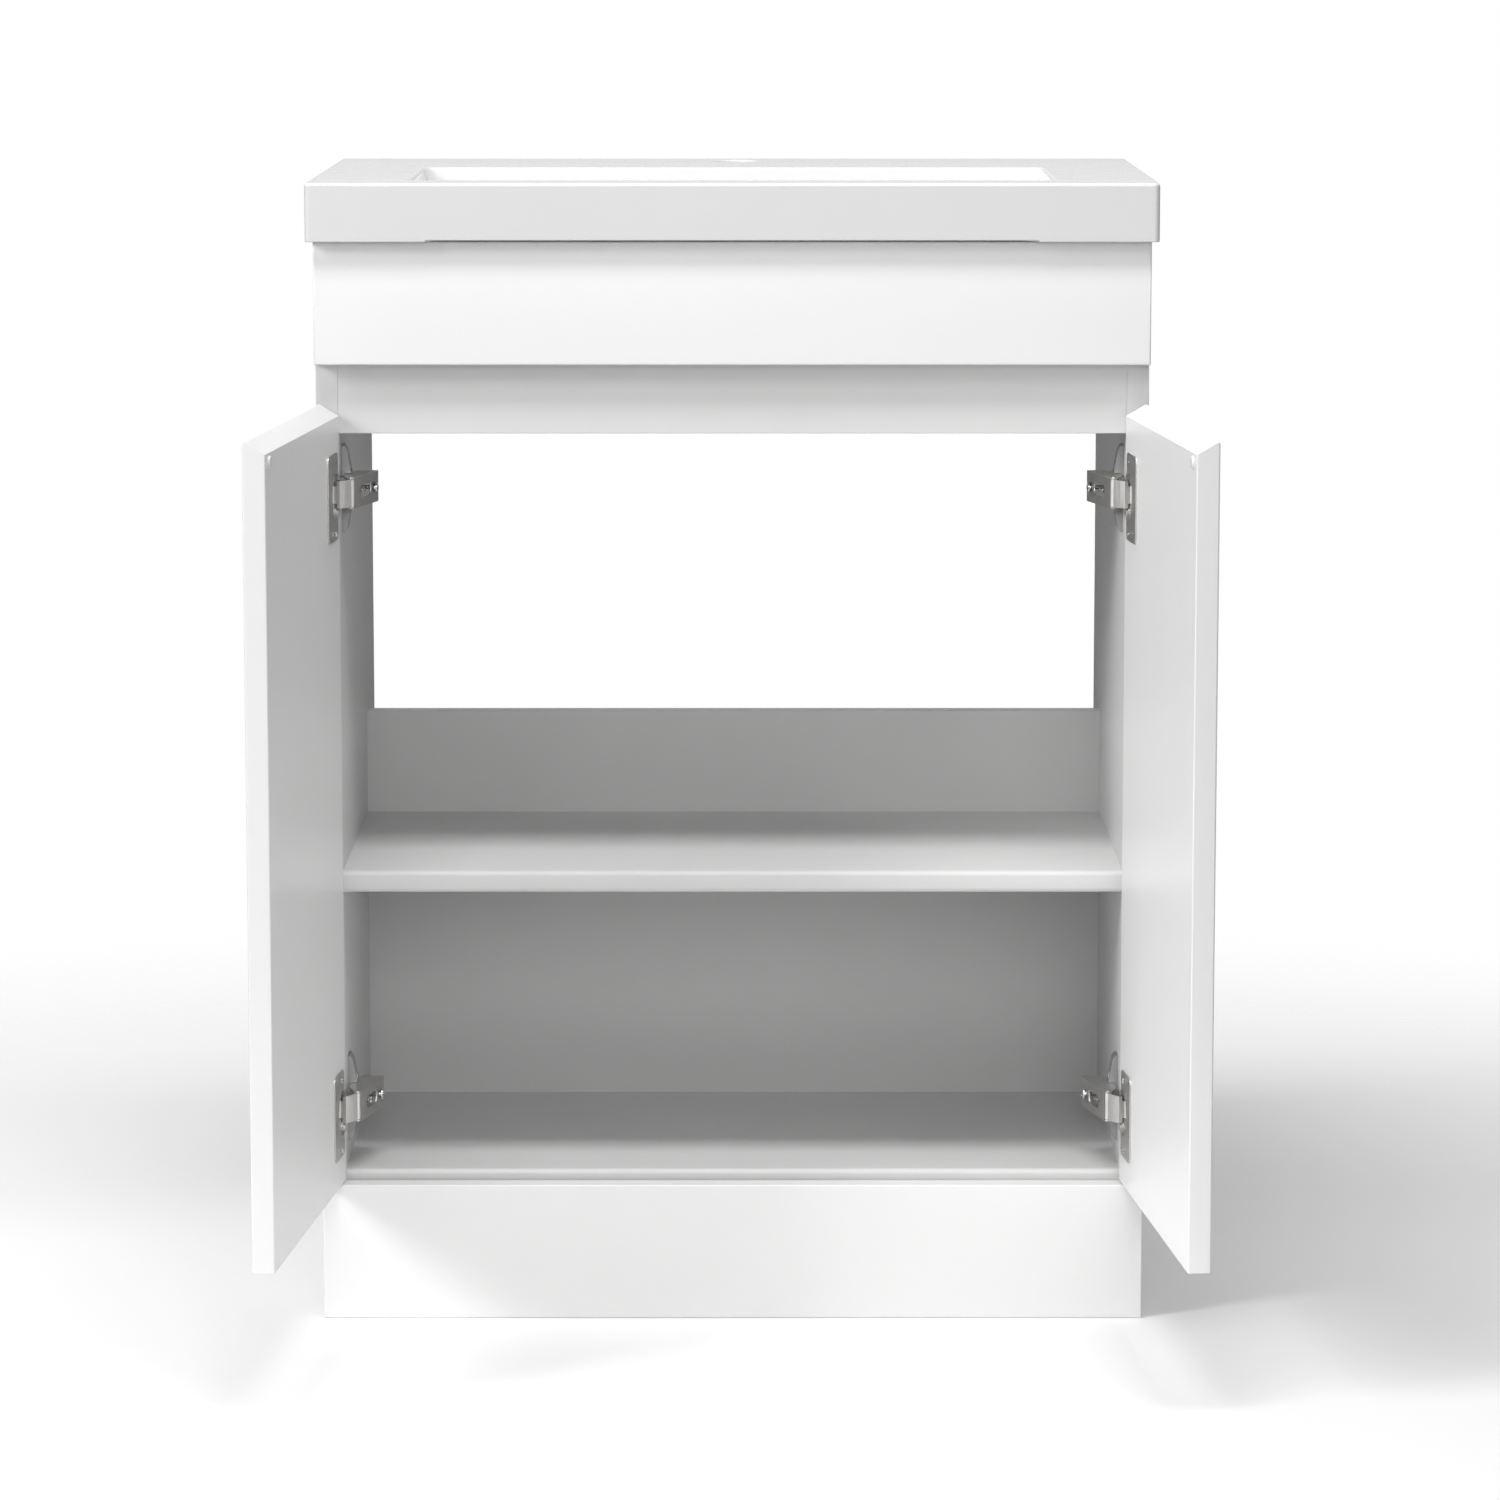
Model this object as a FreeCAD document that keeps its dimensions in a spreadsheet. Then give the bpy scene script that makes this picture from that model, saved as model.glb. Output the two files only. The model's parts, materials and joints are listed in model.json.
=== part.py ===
import FreeCAD, Part
import math
import os
from collections import namedtuple
import Sketcher
from FreeCAD import Placement, Rotation, Vector

# Floor-standing bathroom vanity cabinet, in millimetres.
# Origin: middle of the carcass front plane, on the floor.  +X right, +Y to the wall, +Z up.
# The doors are modelled shut and then placed fully open, which is the rest position.

doc = FreeCAD.newDocument("vanity_cabinet")

# ---------------------------------------------------------------- driving dimensions

SIZES = [
    ("carcass_width", 600, "outside of the two side panels"),
    ("carcass_height", 789, "floor to the underside of the basin"),
    ("side_depth", 370, "front to back of a side panel"),
    ("board", 16, "thickness of every carcass board"),
    ("front_setback", 2, "shelf and floor panel behind the carcass front"),
    ("floor_top", 108, "top of the floor panel"),
    ("shelf_top", 330, "top of the shelf"),
    ("back_front", 280, "front face of the low back panel"),
    ("back_top", 409, "top edge of the low back panel"),
    ("rail_bottom", 650, "lower edge of the front top rail"),
    ("rear_rail_height", 110, "height of the rear top rail"),
    ("plinth_height", 100, "height of the plinth panel"),
    ("fascia_height", 88.5, "height of the fascia panel"),
    ("front_round", 1.5, "rounded front edges of doors, fascia and plinth"),
    ("board_round", 0.6, "eased edges of the carcass boards"),
    ("shelf_round", 4, "rounded front edge of the shelf and floor panel"),
    ("door_width", 297.5, "width of one door"),
    ("door_height", 570, "height of the door's front face"),
    ("door_bottom", 102.5, "lower edge of a door"),
    ("door_thick", 16, "thickness of a door"),
    ("door_bevel", 9.2, "how far the top edge falls from front to inner face"),
    ("door_inset", 1, "door edge inside the carcass side"),
    ("door_gap", 2.4, "gap behind a shut door"),
    ("open_angle", 95.5, "door travel"),
    ("basin_width", 610, "width of the basin"),
    ("basin_depth", 396, "front to back of the basin"),
    ("basin_edge", 42, "height of the basin's visible edge"),
    ("basin_overhang", 26, "basin front before the carcass front"),
    ("basin_deck", 14, "thickness of the basin's deck"),
    ("basin_wall", 9, "thickness of the bowl"),
    ("basin_rim", 30, "width of the basin's hollow edge"),
    ("bowl_width", 465, "bowl mouth, left to right"),
    ("bowl_length", 200, "bowl mouth, front to back"),
    ("bowl_lip", 45, "deck in front of the bowl"),
    ("bowl_depth", 112, "depth of the bowl"),
    ("bowl_inset", 40, "how far the bowl's walls run in from mouth to floor"),
    ("bowl_corner", 10, "corner radius of the bowl's mouth"),
    ("bowl_floor_corner", 22, "corner radius of the bowl's floor"),
    ("bowl_floor_round", 12, "rounding between the bowl's floor and walls"),
    ("basin_corner", 4, "corner radius of the basin seen from above"),
    ("basin_round", 2.2, "rounded top edges of the basin and of its bowl"),
    ("hole_round", 1.2, "rounded top edge of the tap hole"),
    ("hollow_setback", 18, "extra solid width of the basin along its front"),
    ("hollow_corner", 10, "corner radius of the hollow under the basin"),
    ("tap_radius", 17.5, "radius of the tap hole"),
    ("tap_back", 43, "tap hole centre before the basin's back edge"),
    ("waste_radius", 22.5, "radius of the waste hole"),
    ("relief_width", 438, "width of the relief under the basin's front"),
    ("relief_depth", 1.2, "depth of the relief under the basin's front"),
    ("hinge_low", 156, "height of the lower hinges"),
    ("hinge_high", 607, "height of the upper hinges"),
    ("cup_radius", 17.5, "outside radius of a hinge cup"),
    ("cup_depth", 11, "depth of a hinge cup"),
    ("cup_centre", 20.5, "cup centre from the door's hinge edge"),
    ("cup_wall", 0.8, "sheet thickness of a hinge cup"),
    ("flange_height", 63, "height of the cup's flange"),
    ("flange_start", 12, "flange edge from the door's hinge edge"),
    ("flange_width", 40, "width of the cup's flange"),
    ("flange_thick", 1.2, "thickness of the cup's flange"),
    ("arm_pin_in", 25, "arm pin from the carcass side's outer face"),
    ("arm_pin_front", -1, "arm pin from the carcass front, to the wall"),
    ("cup_pin_edge", 7.2, "cup pin from the door's hinge edge"),
    ("cup_pin_deep", 3.6, "cup pin below the door's inner face"),
    ("link_swing", 28, "travel of the hinge link on its arm pin"),
    ("link_half", 9.8, "half width of the hinge link"),
    ("tongue_half", 6.4, "half width of the link inside the cup"),
    ("arm_half", 11.1, "half width of the hinge arm"),
    ("sheet_thick", 1.0, "sheet thickness of the hinge arm"),
    ("plate_back", 37, "mounting plate screws behind the carcass front"),
    ("plate_half", 31.5, "half height of the mounting plate"),
    ("screw_pitch", 32, "distance between the two screws of a plate"),
    ("dowel_radius", 4, "radius of a dowel"),
    ("dowel_length", 30, "length of a dowel"),
    ("cam_radius", 7.5, "radius of a cam nut"),
    ("cam_thick", 12.5, "thickness of a cam nut"),
    ("cam_from_end", 34, "cam nut centre from the board's end"),
    ("wall_hole_radius", 3, "radius of a wall fixing hole"),
    ("wall_hole_spacing", 400, "distance between the wall fixing holes"),
]

sheet = doc.addObject("Spreadsheet::Sheet", "Sizes")
for row, (alias, number, meaning) in enumerate(SIZES, start=1):
    sheet.set(f"A{row}", meaning)
    sheet.set(f"B{row}", str(number))
    sheet.setAlias(f"B{row}", alias)
doc.recompute()


class Length:
    """A size that keeps its spreadsheet formula beside its number."""

    def __init__(self, value, text=None):
        self.value = float(value)
        self.text = text or f"({value})"

    def combined(self, other, sign, value):
        other = other if isinstance(other, Length) else Length(other)
        return Length(value(self.value, other.value), f"({self.text} {sign} {other.text})")

    def __add__(self, other):
        return self.combined(other, "+", lambda a, b: a + b)

    def __sub__(self, other):
        return self.combined(other, "-", lambda a, b: a - b)

    def __mul__(self, other):
        return self.combined(other, "*", lambda a, b: a * b)

    def __truediv__(self, other):
        return self.combined(other, "/", lambda a, b: a / b)

    def __neg__(self):
        return self * -1


def size(alias):
    return Length(getattr(sheet, alias), f"Sizes.{alias}")


def as_length(number):
    return number if isinstance(number, Length) else Length(number)


ZERO = Length(0)
HALF_WIDTH = size("carcass_width") / 2
BOARD = size("board")
INNER_HALF = HALF_WIDTH - BOARD
INNER_WIDTH = size("carcass_width") - BOARD * 2
HINGE_HEIGHTS = {"lower": size("hinge_low"), "upper": size("hinge_high")}
SIDES = {"left": -1, "right": 1}

# ---------------------------------------------------------------- modelling helpers


def new_body(label, at=(ZERO, ZERO, ZERO)):
    body = doc.addObject("PartDesign::Body", label)
    body.Label = label
    for axis, place in zip("xyz", at):
        body.setExpression(f"Placement.Base.{axis}", as_length(place).text)
    return body


def add_sketch(body, plane, height=ZERO):
    """A sketch on one of the body's own origin planes, raised by height along its normal."""
    sketch = body.newObject("Sketcher::SketchObject", f"{body.Label}_sketch")
    support = next(f for f in body.Origin.OriginFeatures if f.Role == plane)
    sketch.AttachmentSupport = (support, [""])
    sketch.MapMode = "FlatFace"
    sketch.setExpression("AttachmentOffset.Base.z", as_length(height).text)
    return sketch


def pin_point(sketch, curve, point, across, up):
    """Hold one end of a curve at a place given by two sizes."""
    for name, axis, place in (("DistanceX", -2, across), ("DistanceY", -1, up)):
        place = as_length(place)
        if abs(place.value) < 1e-9:
            sketch.addConstraint(Sketcher.Constraint("PointOnObject", curve, point, axis))
            continue
        index = sketch.addConstraint(
            Sketcher.Constraint(name, -1, 1, curve, point, place.value)
        )
        sketch.setExpression(f"Constraints[{index}]", place.text)


def draw_outline(sketch, corners):
    """A closed outline of straight lines, each corner held by its two sizes."""
    corners = [(as_length(a), as_length(b)) for a, b in corners]
    points = [Vector(a.value, b.value, 0) for a, b in corners]
    count = len(points)
    for i in range(count):
        sketch.addGeometry(Part.LineSegment(points[i], points[(i + 1) % count]), False)
    for i in range(count):
        sketch.addConstraint(Sketcher.Constraint("Coincident", i, 2, (i + 1) % count, 1))
    for i, (across, up) in enumerate(corners):
        pin_point(sketch, i, 1, across, up)


def draw_rectangle(sketch, left, bottom, width, height):
    left, bottom = as_length(left), as_length(bottom)
    right, top = left + width, bottom + height
    draw_outline(sketch, [(left, bottom), (right, bottom), (right, top), (left, top)])


def draw_rounded_rectangle(sketch, left, bottom, width, height, radius):
    """Four sides and four quarter arcs, each arc held by its centre and radius."""
    right, top = left + width, bottom + height
    centres = [
        (right - radius, bottom + radius, -90),
        (right - radius, top - radius, 0),
        (left + radius, top - radius, 90),
        (left + radius, bottom + radius, 180),
    ]
    for across, up, start in centres:
        circle = Part.Circle(Vector(across.value, up.value, 0), Vector(0, 0, 1), radius.value)
        begin = math.radians(start)
        sketch.addGeometry(Part.ArcOfCircle(circle, begin, begin + math.pi / 2), False)
    ends = []
    for arc in range(4):
        start_point = sketch.Geometry[arc].EndPoint
        end_point = sketch.Geometry[(arc + 1) % 4].StartPoint
        line = sketch.addGeometry(Part.LineSegment(start_point, end_point), False)
        ends.append((arc, line, (arc + 1) % 4))
    for arc, line, next_arc in ends:
        sketch.addConstraint(Sketcher.Constraint("Tangent", arc, 2, line, 1))
        sketch.addConstraint(Sketcher.Constraint("Tangent", line, 2, next_arc, 1))
    for arc, (across, up, _) in enumerate(centres):
        pin_point(sketch, arc, 3, across, up)
    index = sketch.addConstraint(Sketcher.Constraint("Radius", 0, radius.value))
    sketch.setExpression(f"Constraints[{index}]", radius.text)


def add_pad(body, sketch, length, reverse=False):
    pad = body.newObject("PartDesign::Pad", f"{body.Label}_pad")
    pad.Profile = (sketch, [""])
    pad.Reversed = reverse
    pad.setExpression("Length", as_length(length).text)


def add_pocket(body, sketch, depth, reverse=False):
    pocket = body.newObject("PartDesign::Pocket", f"{body.Label}_pocket")
    pocket.Profile = (sketch, [""])
    pocket.Reversed = reverse
    pocket.setExpression("Length", as_length(depth).text)


TURNS = {
    "+X": Rotation(Vector(0, 0, 1), Vector(1, 0, 0)),
    "-X": Rotation(Vector(0, 0, 1), Vector(-1, 0, 0)),
    "+Y": Rotation(Vector(0, 0, 1), Vector(0, 1, 0)),
    "-Y": Rotation(Vector(0, 0, 1), Vector(0, -1, 0)),
    "+Z": Rotation(),
    "-Z": Rotation(Vector(1, 0, 0), 180),
}


def drill(body, at, direction, radius, depth):
    """A round hole from a point given in the carcass frame, drilled in one of six directions."""
    hole = body.newObject("PartDesign::SubtractiveCylinder", f"{body.Label}_hole")
    hole.setExpression("Radius", as_length(radius).text)
    hole.setExpression("Height", as_length(depth).text)
    hole.Placement = Placement(Vector(), TURNS[direction])
    for axis, place in zip("xyz", at):
        own = body.ExpressionEngine
        base = next((text for path, text in own if path.endswith(f"Placement.Base.{axis}")), "0")
        hole.setExpression(f"Placement.Base.{axis}", f"{as_length(place).text} - ({base})")


def ease(body, radius, keep):
    """Round the edges that the test keeps."""
    doc.recompute()
    base = body.Tip
    edges = enumerate(base.Shape.Edges, start=1)
    names = [f"Edge{number}" for number, edge in edges if keep(edge)]
    fillet = body.newObject("PartDesign::Fillet", f"{body.Label}_fillet")
    fillet.Base = (base, names)
    fillet.setExpression("Radius", as_length(radius).text)


def at_y(value):
    """Tests for an edge that lies in a plane of constant y, in the body's own frame."""
    return lambda edge: all(abs(v.Y - value) < 1e-6 for v in edge.Vertexes)


def add_board(label, corner, extent):
    """A board with its lowest corner at a place in the carcass frame."""
    body = new_body(label, corner)
    sketch = add_sketch(body, "XY_Plane")
    draw_rectangle(sketch, ZERO, ZERO, extent[0], extent[1])
    add_pad(body, sketch, extent[2])
    return body


def add_solid(label, shape, place=Placement()):
    """A piece whose shape comes from Part's own functions."""
    piece = doc.addObject("Part::Feature", label)
    piece.Label = label
    piece.Shape = shape.removeSplitter() if shape.Solids and len(shape.Solids) == 1 else shape
    piece.Placement = place
    return piece


def add_group(label, solids):
    """Identical loose pieces that share one node."""
    return add_solid(label, Part.makeCompound(solids))


def turned_about(x, y, angle):
    """The placement that turns a piece about the upright line through (x, y)."""
    return Placement(Vector(), Rotation(Vector(0, 0, 1), angle), Vector(x, y, 0))


# ---------------------------------------------------------------- carcass boards

FLOOR_CORNER_Z = size("floor_top") - BOARD
SHELF_CORNER_Z = size("shelf_top") - BOARD
RAIL_HEIGHT = size("carcass_height") - size("rail_bottom")
REAR_RAIL_Y = size("side_depth") - BOARD
REAR_RAIL_BOTTOM = size("carcass_height") - size("rear_rail_height")
PANEL_DEPTH = size("back_front") - size("front_setback")

side_panels = {
    "left": add_board(
        "side_panel_left",
        (-HALF_WIDTH, ZERO, ZERO),
        (BOARD, size("side_depth"), size("carcass_height")),
    ),
    "right": add_board(
        "side_panel_right",
        (INNER_HALF, ZERO, ZERO),
        (BOARD, size("side_depth"), size("carcass_height")),
    ),
}
for panel in side_panels.values():
    ease(panel, size("board_round"), at_y(0))

floor_panel = add_board(
    "floor_panel",
    (-INNER_HALF, size("front_setback"), FLOOR_CORNER_Z),
    (INNER_WIDTH, PANEL_DEPTH, BOARD),
)
shelf = add_board(
    "shelf",
    (-INNER_HALF, size("front_setback"), SHELF_CORNER_Z),
    (INNER_WIDTH, PANEL_DEPTH, BOARD),
)
for panel in (floor_panel, shelf):
    ease(panel, size("shelf_round"), lambda e: at_y(0)(e) and e.BoundBox.XLength > 1)

back_panel = add_board(
    "lower_back_panel",
    (-INNER_HALF, size("back_front"), FLOOR_CORNER_Z),
    (INNER_WIDTH, BOARD, size("back_top") - FLOOR_CORNER_Z),
)
front_rail = add_board(
    "front_top_rail",
    (-INNER_HALF, ZERO, size("rail_bottom")),
    (INNER_WIDTH, BOARD, RAIL_HEIGHT),
)
rear_rail = add_board(
    "rear_top_rail",
    (-INNER_HALF, REAR_RAIL_Y, REAR_RAIL_BOTTOM),
    (INNER_WIDTH, BOARD, size("rear_rail_height")),
)
for panel in (back_panel, front_rail, rear_rail):
    ease(panel, size("board_round"), lambda e: e.BoundBox.XLength > 1)

fascia = add_board(
    "fascia_panel",
    (-HALF_WIDTH, -BOARD, size("carcass_height") - size("fascia_height")),
    (size("carcass_width"), BOARD, size("fascia_height")),
)
plinth = add_board(
    "plinth_panel",
    (-HALF_WIDTH, -BOARD, ZERO),
    (size("carcass_width"), BOARD, size("plinth_height")),
)
for panel in (fascia, plinth):
    ease(panel, size("front_round"), at_y(0))

# ---------------------------------------------------------------- board joints

# Each board's end is held by dowels and by cam nuts with their bolts.
# Per board: dowel places, cam places (both y and z), side of the board the cams go in from.
MID_Y = BOARD / 2
FLOOR_MID_Z = FLOOR_CORNER_Z + BOARD / 2
BACK_MID_Y = size("back_front") + BOARD / 2
REAR_MID_Y = REAR_RAIL_Y + BOARD / 2
FRONT_RAIL_MID = size("rail_bottom") + RAIL_HEIGHT / 2
REAR_RAIL_MID = REAR_RAIL_BOTTOM + size("rear_rail_height") / 2
JOINTS = [
    (floor_panel, [(50, FLOOR_MID_Z), (245, FLOOR_MID_Z)],
     [(90, FLOOR_MID_Z), (205, FLOOR_MID_Z)], "+Z", FLOOR_CORNER_Z),
    (front_rail, [(MID_Y, FRONT_RAIL_MID - 40), (MID_Y, FRONT_RAIL_MID + 40)],
     [(MID_Y, FRONT_RAIL_MID)], "-Y", BOARD),
    (rear_rail, [(REAR_MID_Y, REAR_RAIL_MID - 32), (REAR_MID_Y, REAR_RAIL_MID + 32)],
     [(REAR_MID_Y, REAR_RAIL_MID)], "+Y", REAR_RAIL_Y),
    (back_panel, [(BACK_MID_Y, 150), (BACK_MID_Y, 365)],
     [(BACK_MID_Y, 200), (BACK_MID_Y, 300)], "-Y", size("back_front") + BOARD),
]
BOLT_RADIUS = Length(3.5)
BOLT_THREAD_RADIUS = Length(2.5)
BOLT_IN_SIDE = Length(11)
CAM_TO_BOLT = Length(0.4)
DOWEL_IN_SIDE = Length(10)
DOWEL_IN_BOARD = size("dowel_length") - DOWEL_IN_SIDE
BOLT_IN_BOARD = size("cam_from_end") - size("cam_radius") - CAM_TO_BOLT


def rod(radius, length, at, direction):
    base = Vector(*[as_length(place).value for place in at])
    cylinder = Part.makeCylinder(as_length(radius).value, as_length(length).value)
    cylinder.Placement = Placement(base, TURNS[direction])
    return cylinder


CAM_SLOT_LENGTH, CAM_SLOT_WIDTH, CAM_SLOT_DEPTH = 8, 1.6, 2


def cam_nut(at, direction):
    """A cam nut: a disc with a cross slot in its outer face."""
    nut = rod(size("cam_radius"), size("cam_thick"), (0, 0, 0), "+Z")
    corner = Vector(-CAM_SLOT_LENGTH / 2, -CAM_SLOT_WIDTH / 2, 0)
    for turn in (45, 135):
        slot = Part.makeBox(CAM_SLOT_LENGTH, CAM_SLOT_WIDTH, CAM_SLOT_DEPTH, corner)
        slot.rotate(Vector(), Vector(0, 0, 1), turn)
        nut = nut.cut(slot)
    nut.Placement = Placement(Vector(*[as_length(p).value for p in at]), TURNS[direction])
    return nut


dowels, cams, bolts = [], [], []
for board, dowel_places, cam_places, cam_way, cam_face in JOINTS:
    for side, sign in SIDES.items():
        end = INNER_HALF * sign
        into_side = "+X" if sign > 0 else "-X"
        into_board = "-X" if sign > 0 else "+X"
        for y, z in dowel_places:
            drill(side_panels[side], (end, y, z), into_side, size("dowel_radius"), DOWEL_IN_SIDE)
            drill(board, (end, y, z), into_board, size("dowel_radius"), DOWEL_IN_BOARD)
            start = end + DOWEL_IN_SIDE * sign
            place = (start, y, z)
            dowels.append(rod(size("dowel_radius"), size("dowel_length"), place, into_board))
        for y, z in cam_places:
            drill(side_panels[side], (end, y, z), into_side, BOLT_THREAD_RADIUS, BOLT_IN_SIDE)
            drill(board, (end, y, z), into_board, BOLT_RADIUS, BOLT_IN_BOARD + CAM_TO_BOLT)
            cam_x = end - size("cam_from_end") * sign
            cam_at = (cam_x, y, cam_face) if cam_way == "+Z" else (cam_x, cam_face, z)
            drill(board, cam_at, cam_way, size("cam_radius"), size("cam_thick"))
            cams.append(cam_nut(cam_at, cam_way))
            thread = rod(BOLT_THREAD_RADIUS, BOLT_IN_SIDE, (end, y, z), into_side)
            shank = rod(BOLT_RADIUS, BOLT_IN_BOARD, (end, y, z), into_board)
            bolts.append(thread.fuse(shank))
add_group("carcass_dowels", dowels)
add_group("cam_nuts", cams)
add_group("cam_bolts", bolts)

for sign in SIDES.values():
    hole_x = size("wall_hole_spacing") / 2 * sign
    place = (hole_x, REAR_RAIL_Y, REAR_RAIL_MID)
    drill(rear_rail, place, "+Y", size("wall_hole_radius"), BOARD)

# ---------------------------------------------------------------- screws


ScrewKind = namedtuple("ScrewKind", "shank_radius head_radius head_height")
SCREWS = {
    "fascia": ScrewKind(2.0, 4.2, 2.6),
    "plinth": ScrewKind(1.75, 3.6, 2.2),
    "cup": ScrewKind(1.6, 3.2, 1.3),
    "plate": ScrewKind(1.8, 3.7, 2.2),
    "side_adjusting_screws": ScrewKind(2.0, 3.8, 2.0),
    "arm_fixing_screws": ScrewKind(1.9, 3.8, 2.0),
}


def screw(at, direction, kind, length):
    """A domed screw with a cross recess.  The point 'at' is under its head, the shank runs on."""
    shank_radius, head_radius, head_height = SCREWS[kind]
    head = Part.makeCylinder(head_radius, head_height, Vector(0, 0, -head_height))
    rim = [e for e in head.Edges if abs(e.BoundBox.ZMax + head_height) < 1e-6]
    head = head.makeFillet(head_height * 0.55, rim)
    slot_length, slot_width = head_radius * 1.1, head_radius * 0.24
    for turn in (45, 135):
        slot = Part.makeBox(slot_length, slot_width, head_height * 0.6)
        slot.translate(Vector(-slot_length / 2, -slot_width / 2, -head_height))
        slot.rotate(Vector(), Vector(0, 0, 1), turn)
        head = head.cut(slot)
    straight = length - shank_radius
    shank = Part.makeCylinder(shank_radius, straight)
    tip_at = Vector(0, 0, straight)
    point = Part.makeCone(shank_radius, shank_radius * 0.2, shank_radius, tip_at)
    whole = head.fuse([shank, point])
    whole.Placement = Placement(Vector(*[as_length(p).value for p in at]), TURNS[direction])
    return whole


FASCIA_SCREW_IN = Length(10)
FASCIA_SCREW_PLACES = (-220, -75, 75, 220)
fascia_hole = SCREWS["fascia"].shank_radius
fascia_screws = []
fascia_mid = size("carcass_height") - size("fascia_height") / 2
for x in FASCIA_SCREW_PLACES:
    under_head = (x, BOARD, fascia_mid)
    drill(front_rail, under_head, "-Y", fascia_hole, BOARD)
    drill(fascia, (x, ZERO, fascia_mid), "-Y", fascia_hole, FASCIA_SCREW_IN)
    fascia_screws.append(screw(under_head, "-Y", "fascia", (BOARD + FASCIA_SCREW_IN).value))
add_group("fascia_screws", fascia_screws)

# Two corner blocks behind the plinth tie it to the side panels.
BLOCK, BLOCK_HEIGHT, BLOCK_BOTTOM = Length(20), Length(40), Length(25)
BLOCK_ROUND, BLOCK_SCREW_IN = Length(2), Length(10)
BLOCK_COUNTERBORE, BLOCK_COUNTERBORE_RADIUS = Length(6), Length(4)
block_hole = SCREWS["plinth"].shank_radius
plinth_screws = []
for side, sign in SIDES.items():
    corner_x = -INNER_HALF if sign < 0 else INNER_HALF - BLOCK
    block = add_board(
        f"plinth_block_{side}",
        (corner_x, ZERO, BLOCK_BOTTOM),
        (BLOCK, BLOCK, BLOCK_HEIGHT),
    )
    ease(block, BLOCK_ROUND, lambda e: e.BoundBox.ZLength > 1)
    middle = (INNER_HALF - BLOCK / 2) * sign
    reach = (BLOCK - BLOCK_COUNTERBORE + BLOCK_SCREW_IN).value
    front_z = BLOCK_BOTTOM + BLOCK_HEIGHT * 0.7
    drill(block, (middle, BLOCK, front_z), "-Y", BLOCK_COUNTERBORE_RADIUS, BLOCK_COUNTERBORE)
    drill(block, (middle, BLOCK, front_z), "-Y", block_hole, BLOCK)
    drill(plinth, (middle, ZERO, front_z), "-Y", block_hole, BLOCK_SCREW_IN)
    under_head = (middle, BLOCK - BLOCK_COUNTERBORE, front_z)
    plinth_screws.append(screw(under_head, "-Y", "plinth", reach))
    outward = "+X" if sign > 0 else "-X"
    inner_x = (INNER_HALF - BLOCK) * sign
    side_z = BLOCK_BOTTOM + BLOCK_HEIGHT * 0.3
    inner_face = (inner_x, BLOCK / 2, side_z)
    drill(block, inner_face, outward, BLOCK_COUNTERBORE_RADIUS, BLOCK_COUNTERBORE)
    drill(block, inner_face, outward, block_hole, BLOCK)
    wall_point = (INNER_HALF * sign, BLOCK / 2, side_z)
    drill(side_panels[side], wall_point, outward, block_hole, BLOCK_SCREW_IN)
    under_head = (inner_x + BLOCK_COUNTERBORE * sign, BLOCK / 2, side_z)
    plinth_screws.append(screw(under_head, outward, "plinth", reach))
add_group("plinth_screws", plinth_screws)

# Shelf pins: a round peg in the side panel with a flat tab under the shelf.
PIN_RADIUS, PIN_IN, PIN_OUT, PIN_BELOW = Length(2.5), Length(8), Length(9), Length(3.5)
PIN_PLACES = (45, 235)
TAB_WIDTH, TAB_THICK = 8, 2
shelf_pins = []
for side, sign in SIDES.items():
    outward = "+X" if sign > 0 else "-X"
    for y in PIN_PLACES:
        pin_z = SHELF_CORNER_Z - PIN_BELOW
        drill(side_panels[side], (INNER_HALF * sign, y, pin_z), outward, PIN_RADIUS, PIN_IN)
        start = (INNER_HALF - PIN_OUT) * sign
        peg = rod(PIN_RADIUS, PIN_IN + PIN_OUT, (start, y, pin_z), outward)
        tab_x = min(start.value, INNER_HALF.value * sign)
        tab_corner = Vector(tab_x, y - TAB_WIDTH / 2, SHELF_CORNER_Z.value - TAB_THICK)
        tab = Part.makeBox(PIN_OUT.value, TAB_WIDTH, TAB_THICK, tab_corner)
        shelf_pins.append(peg.fuse(tab))
add_group("shelf_pins", shelf_pins)

# ---------------------------------------------------------------- basin

BASIN_TOP = size("carcass_height") + size("basin_edge")
BASIN_FRONT = -size("basin_overhang")
BASIN_BACK = BASIN_FRONT + size("basin_depth")
BOWL_FRONT = BASIN_FRONT + size("bowl_lip")
BOWL_BACK = BOWL_FRONT + size("bowl_length")


def add_bowl_loft(basin, kind, skin):
    """The tapered bowl from its mouth to its floor, grown outwards by a skin."""
    sections = []
    for height, inset, corner in (
        (BASIN_TOP, ZERO, size("bowl_corner")),
        (BASIN_TOP - size("bowl_depth") - skin, size("bowl_inset"), size("bowl_floor_corner")),
    ):
        section = add_sketch(basin, "XY_Plane", height)
        draw_rounded_rectangle(
            section,
            -size("bowl_width") / 2 + inset - skin,
            BOWL_FRONT + inset - skin,
            size("bowl_width") - inset * 2 + skin * 2,
            size("bowl_length") - inset * 2 + skin * 2,
            corner + skin,
        )
        sections.append(section)
    loft = basin.newObject(kind, "bowl_loft")
    loft.Profile = (sections[0], [""])
    loft.Sections = [(sections[1], [""])]
    loft.Ruled = True


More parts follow.
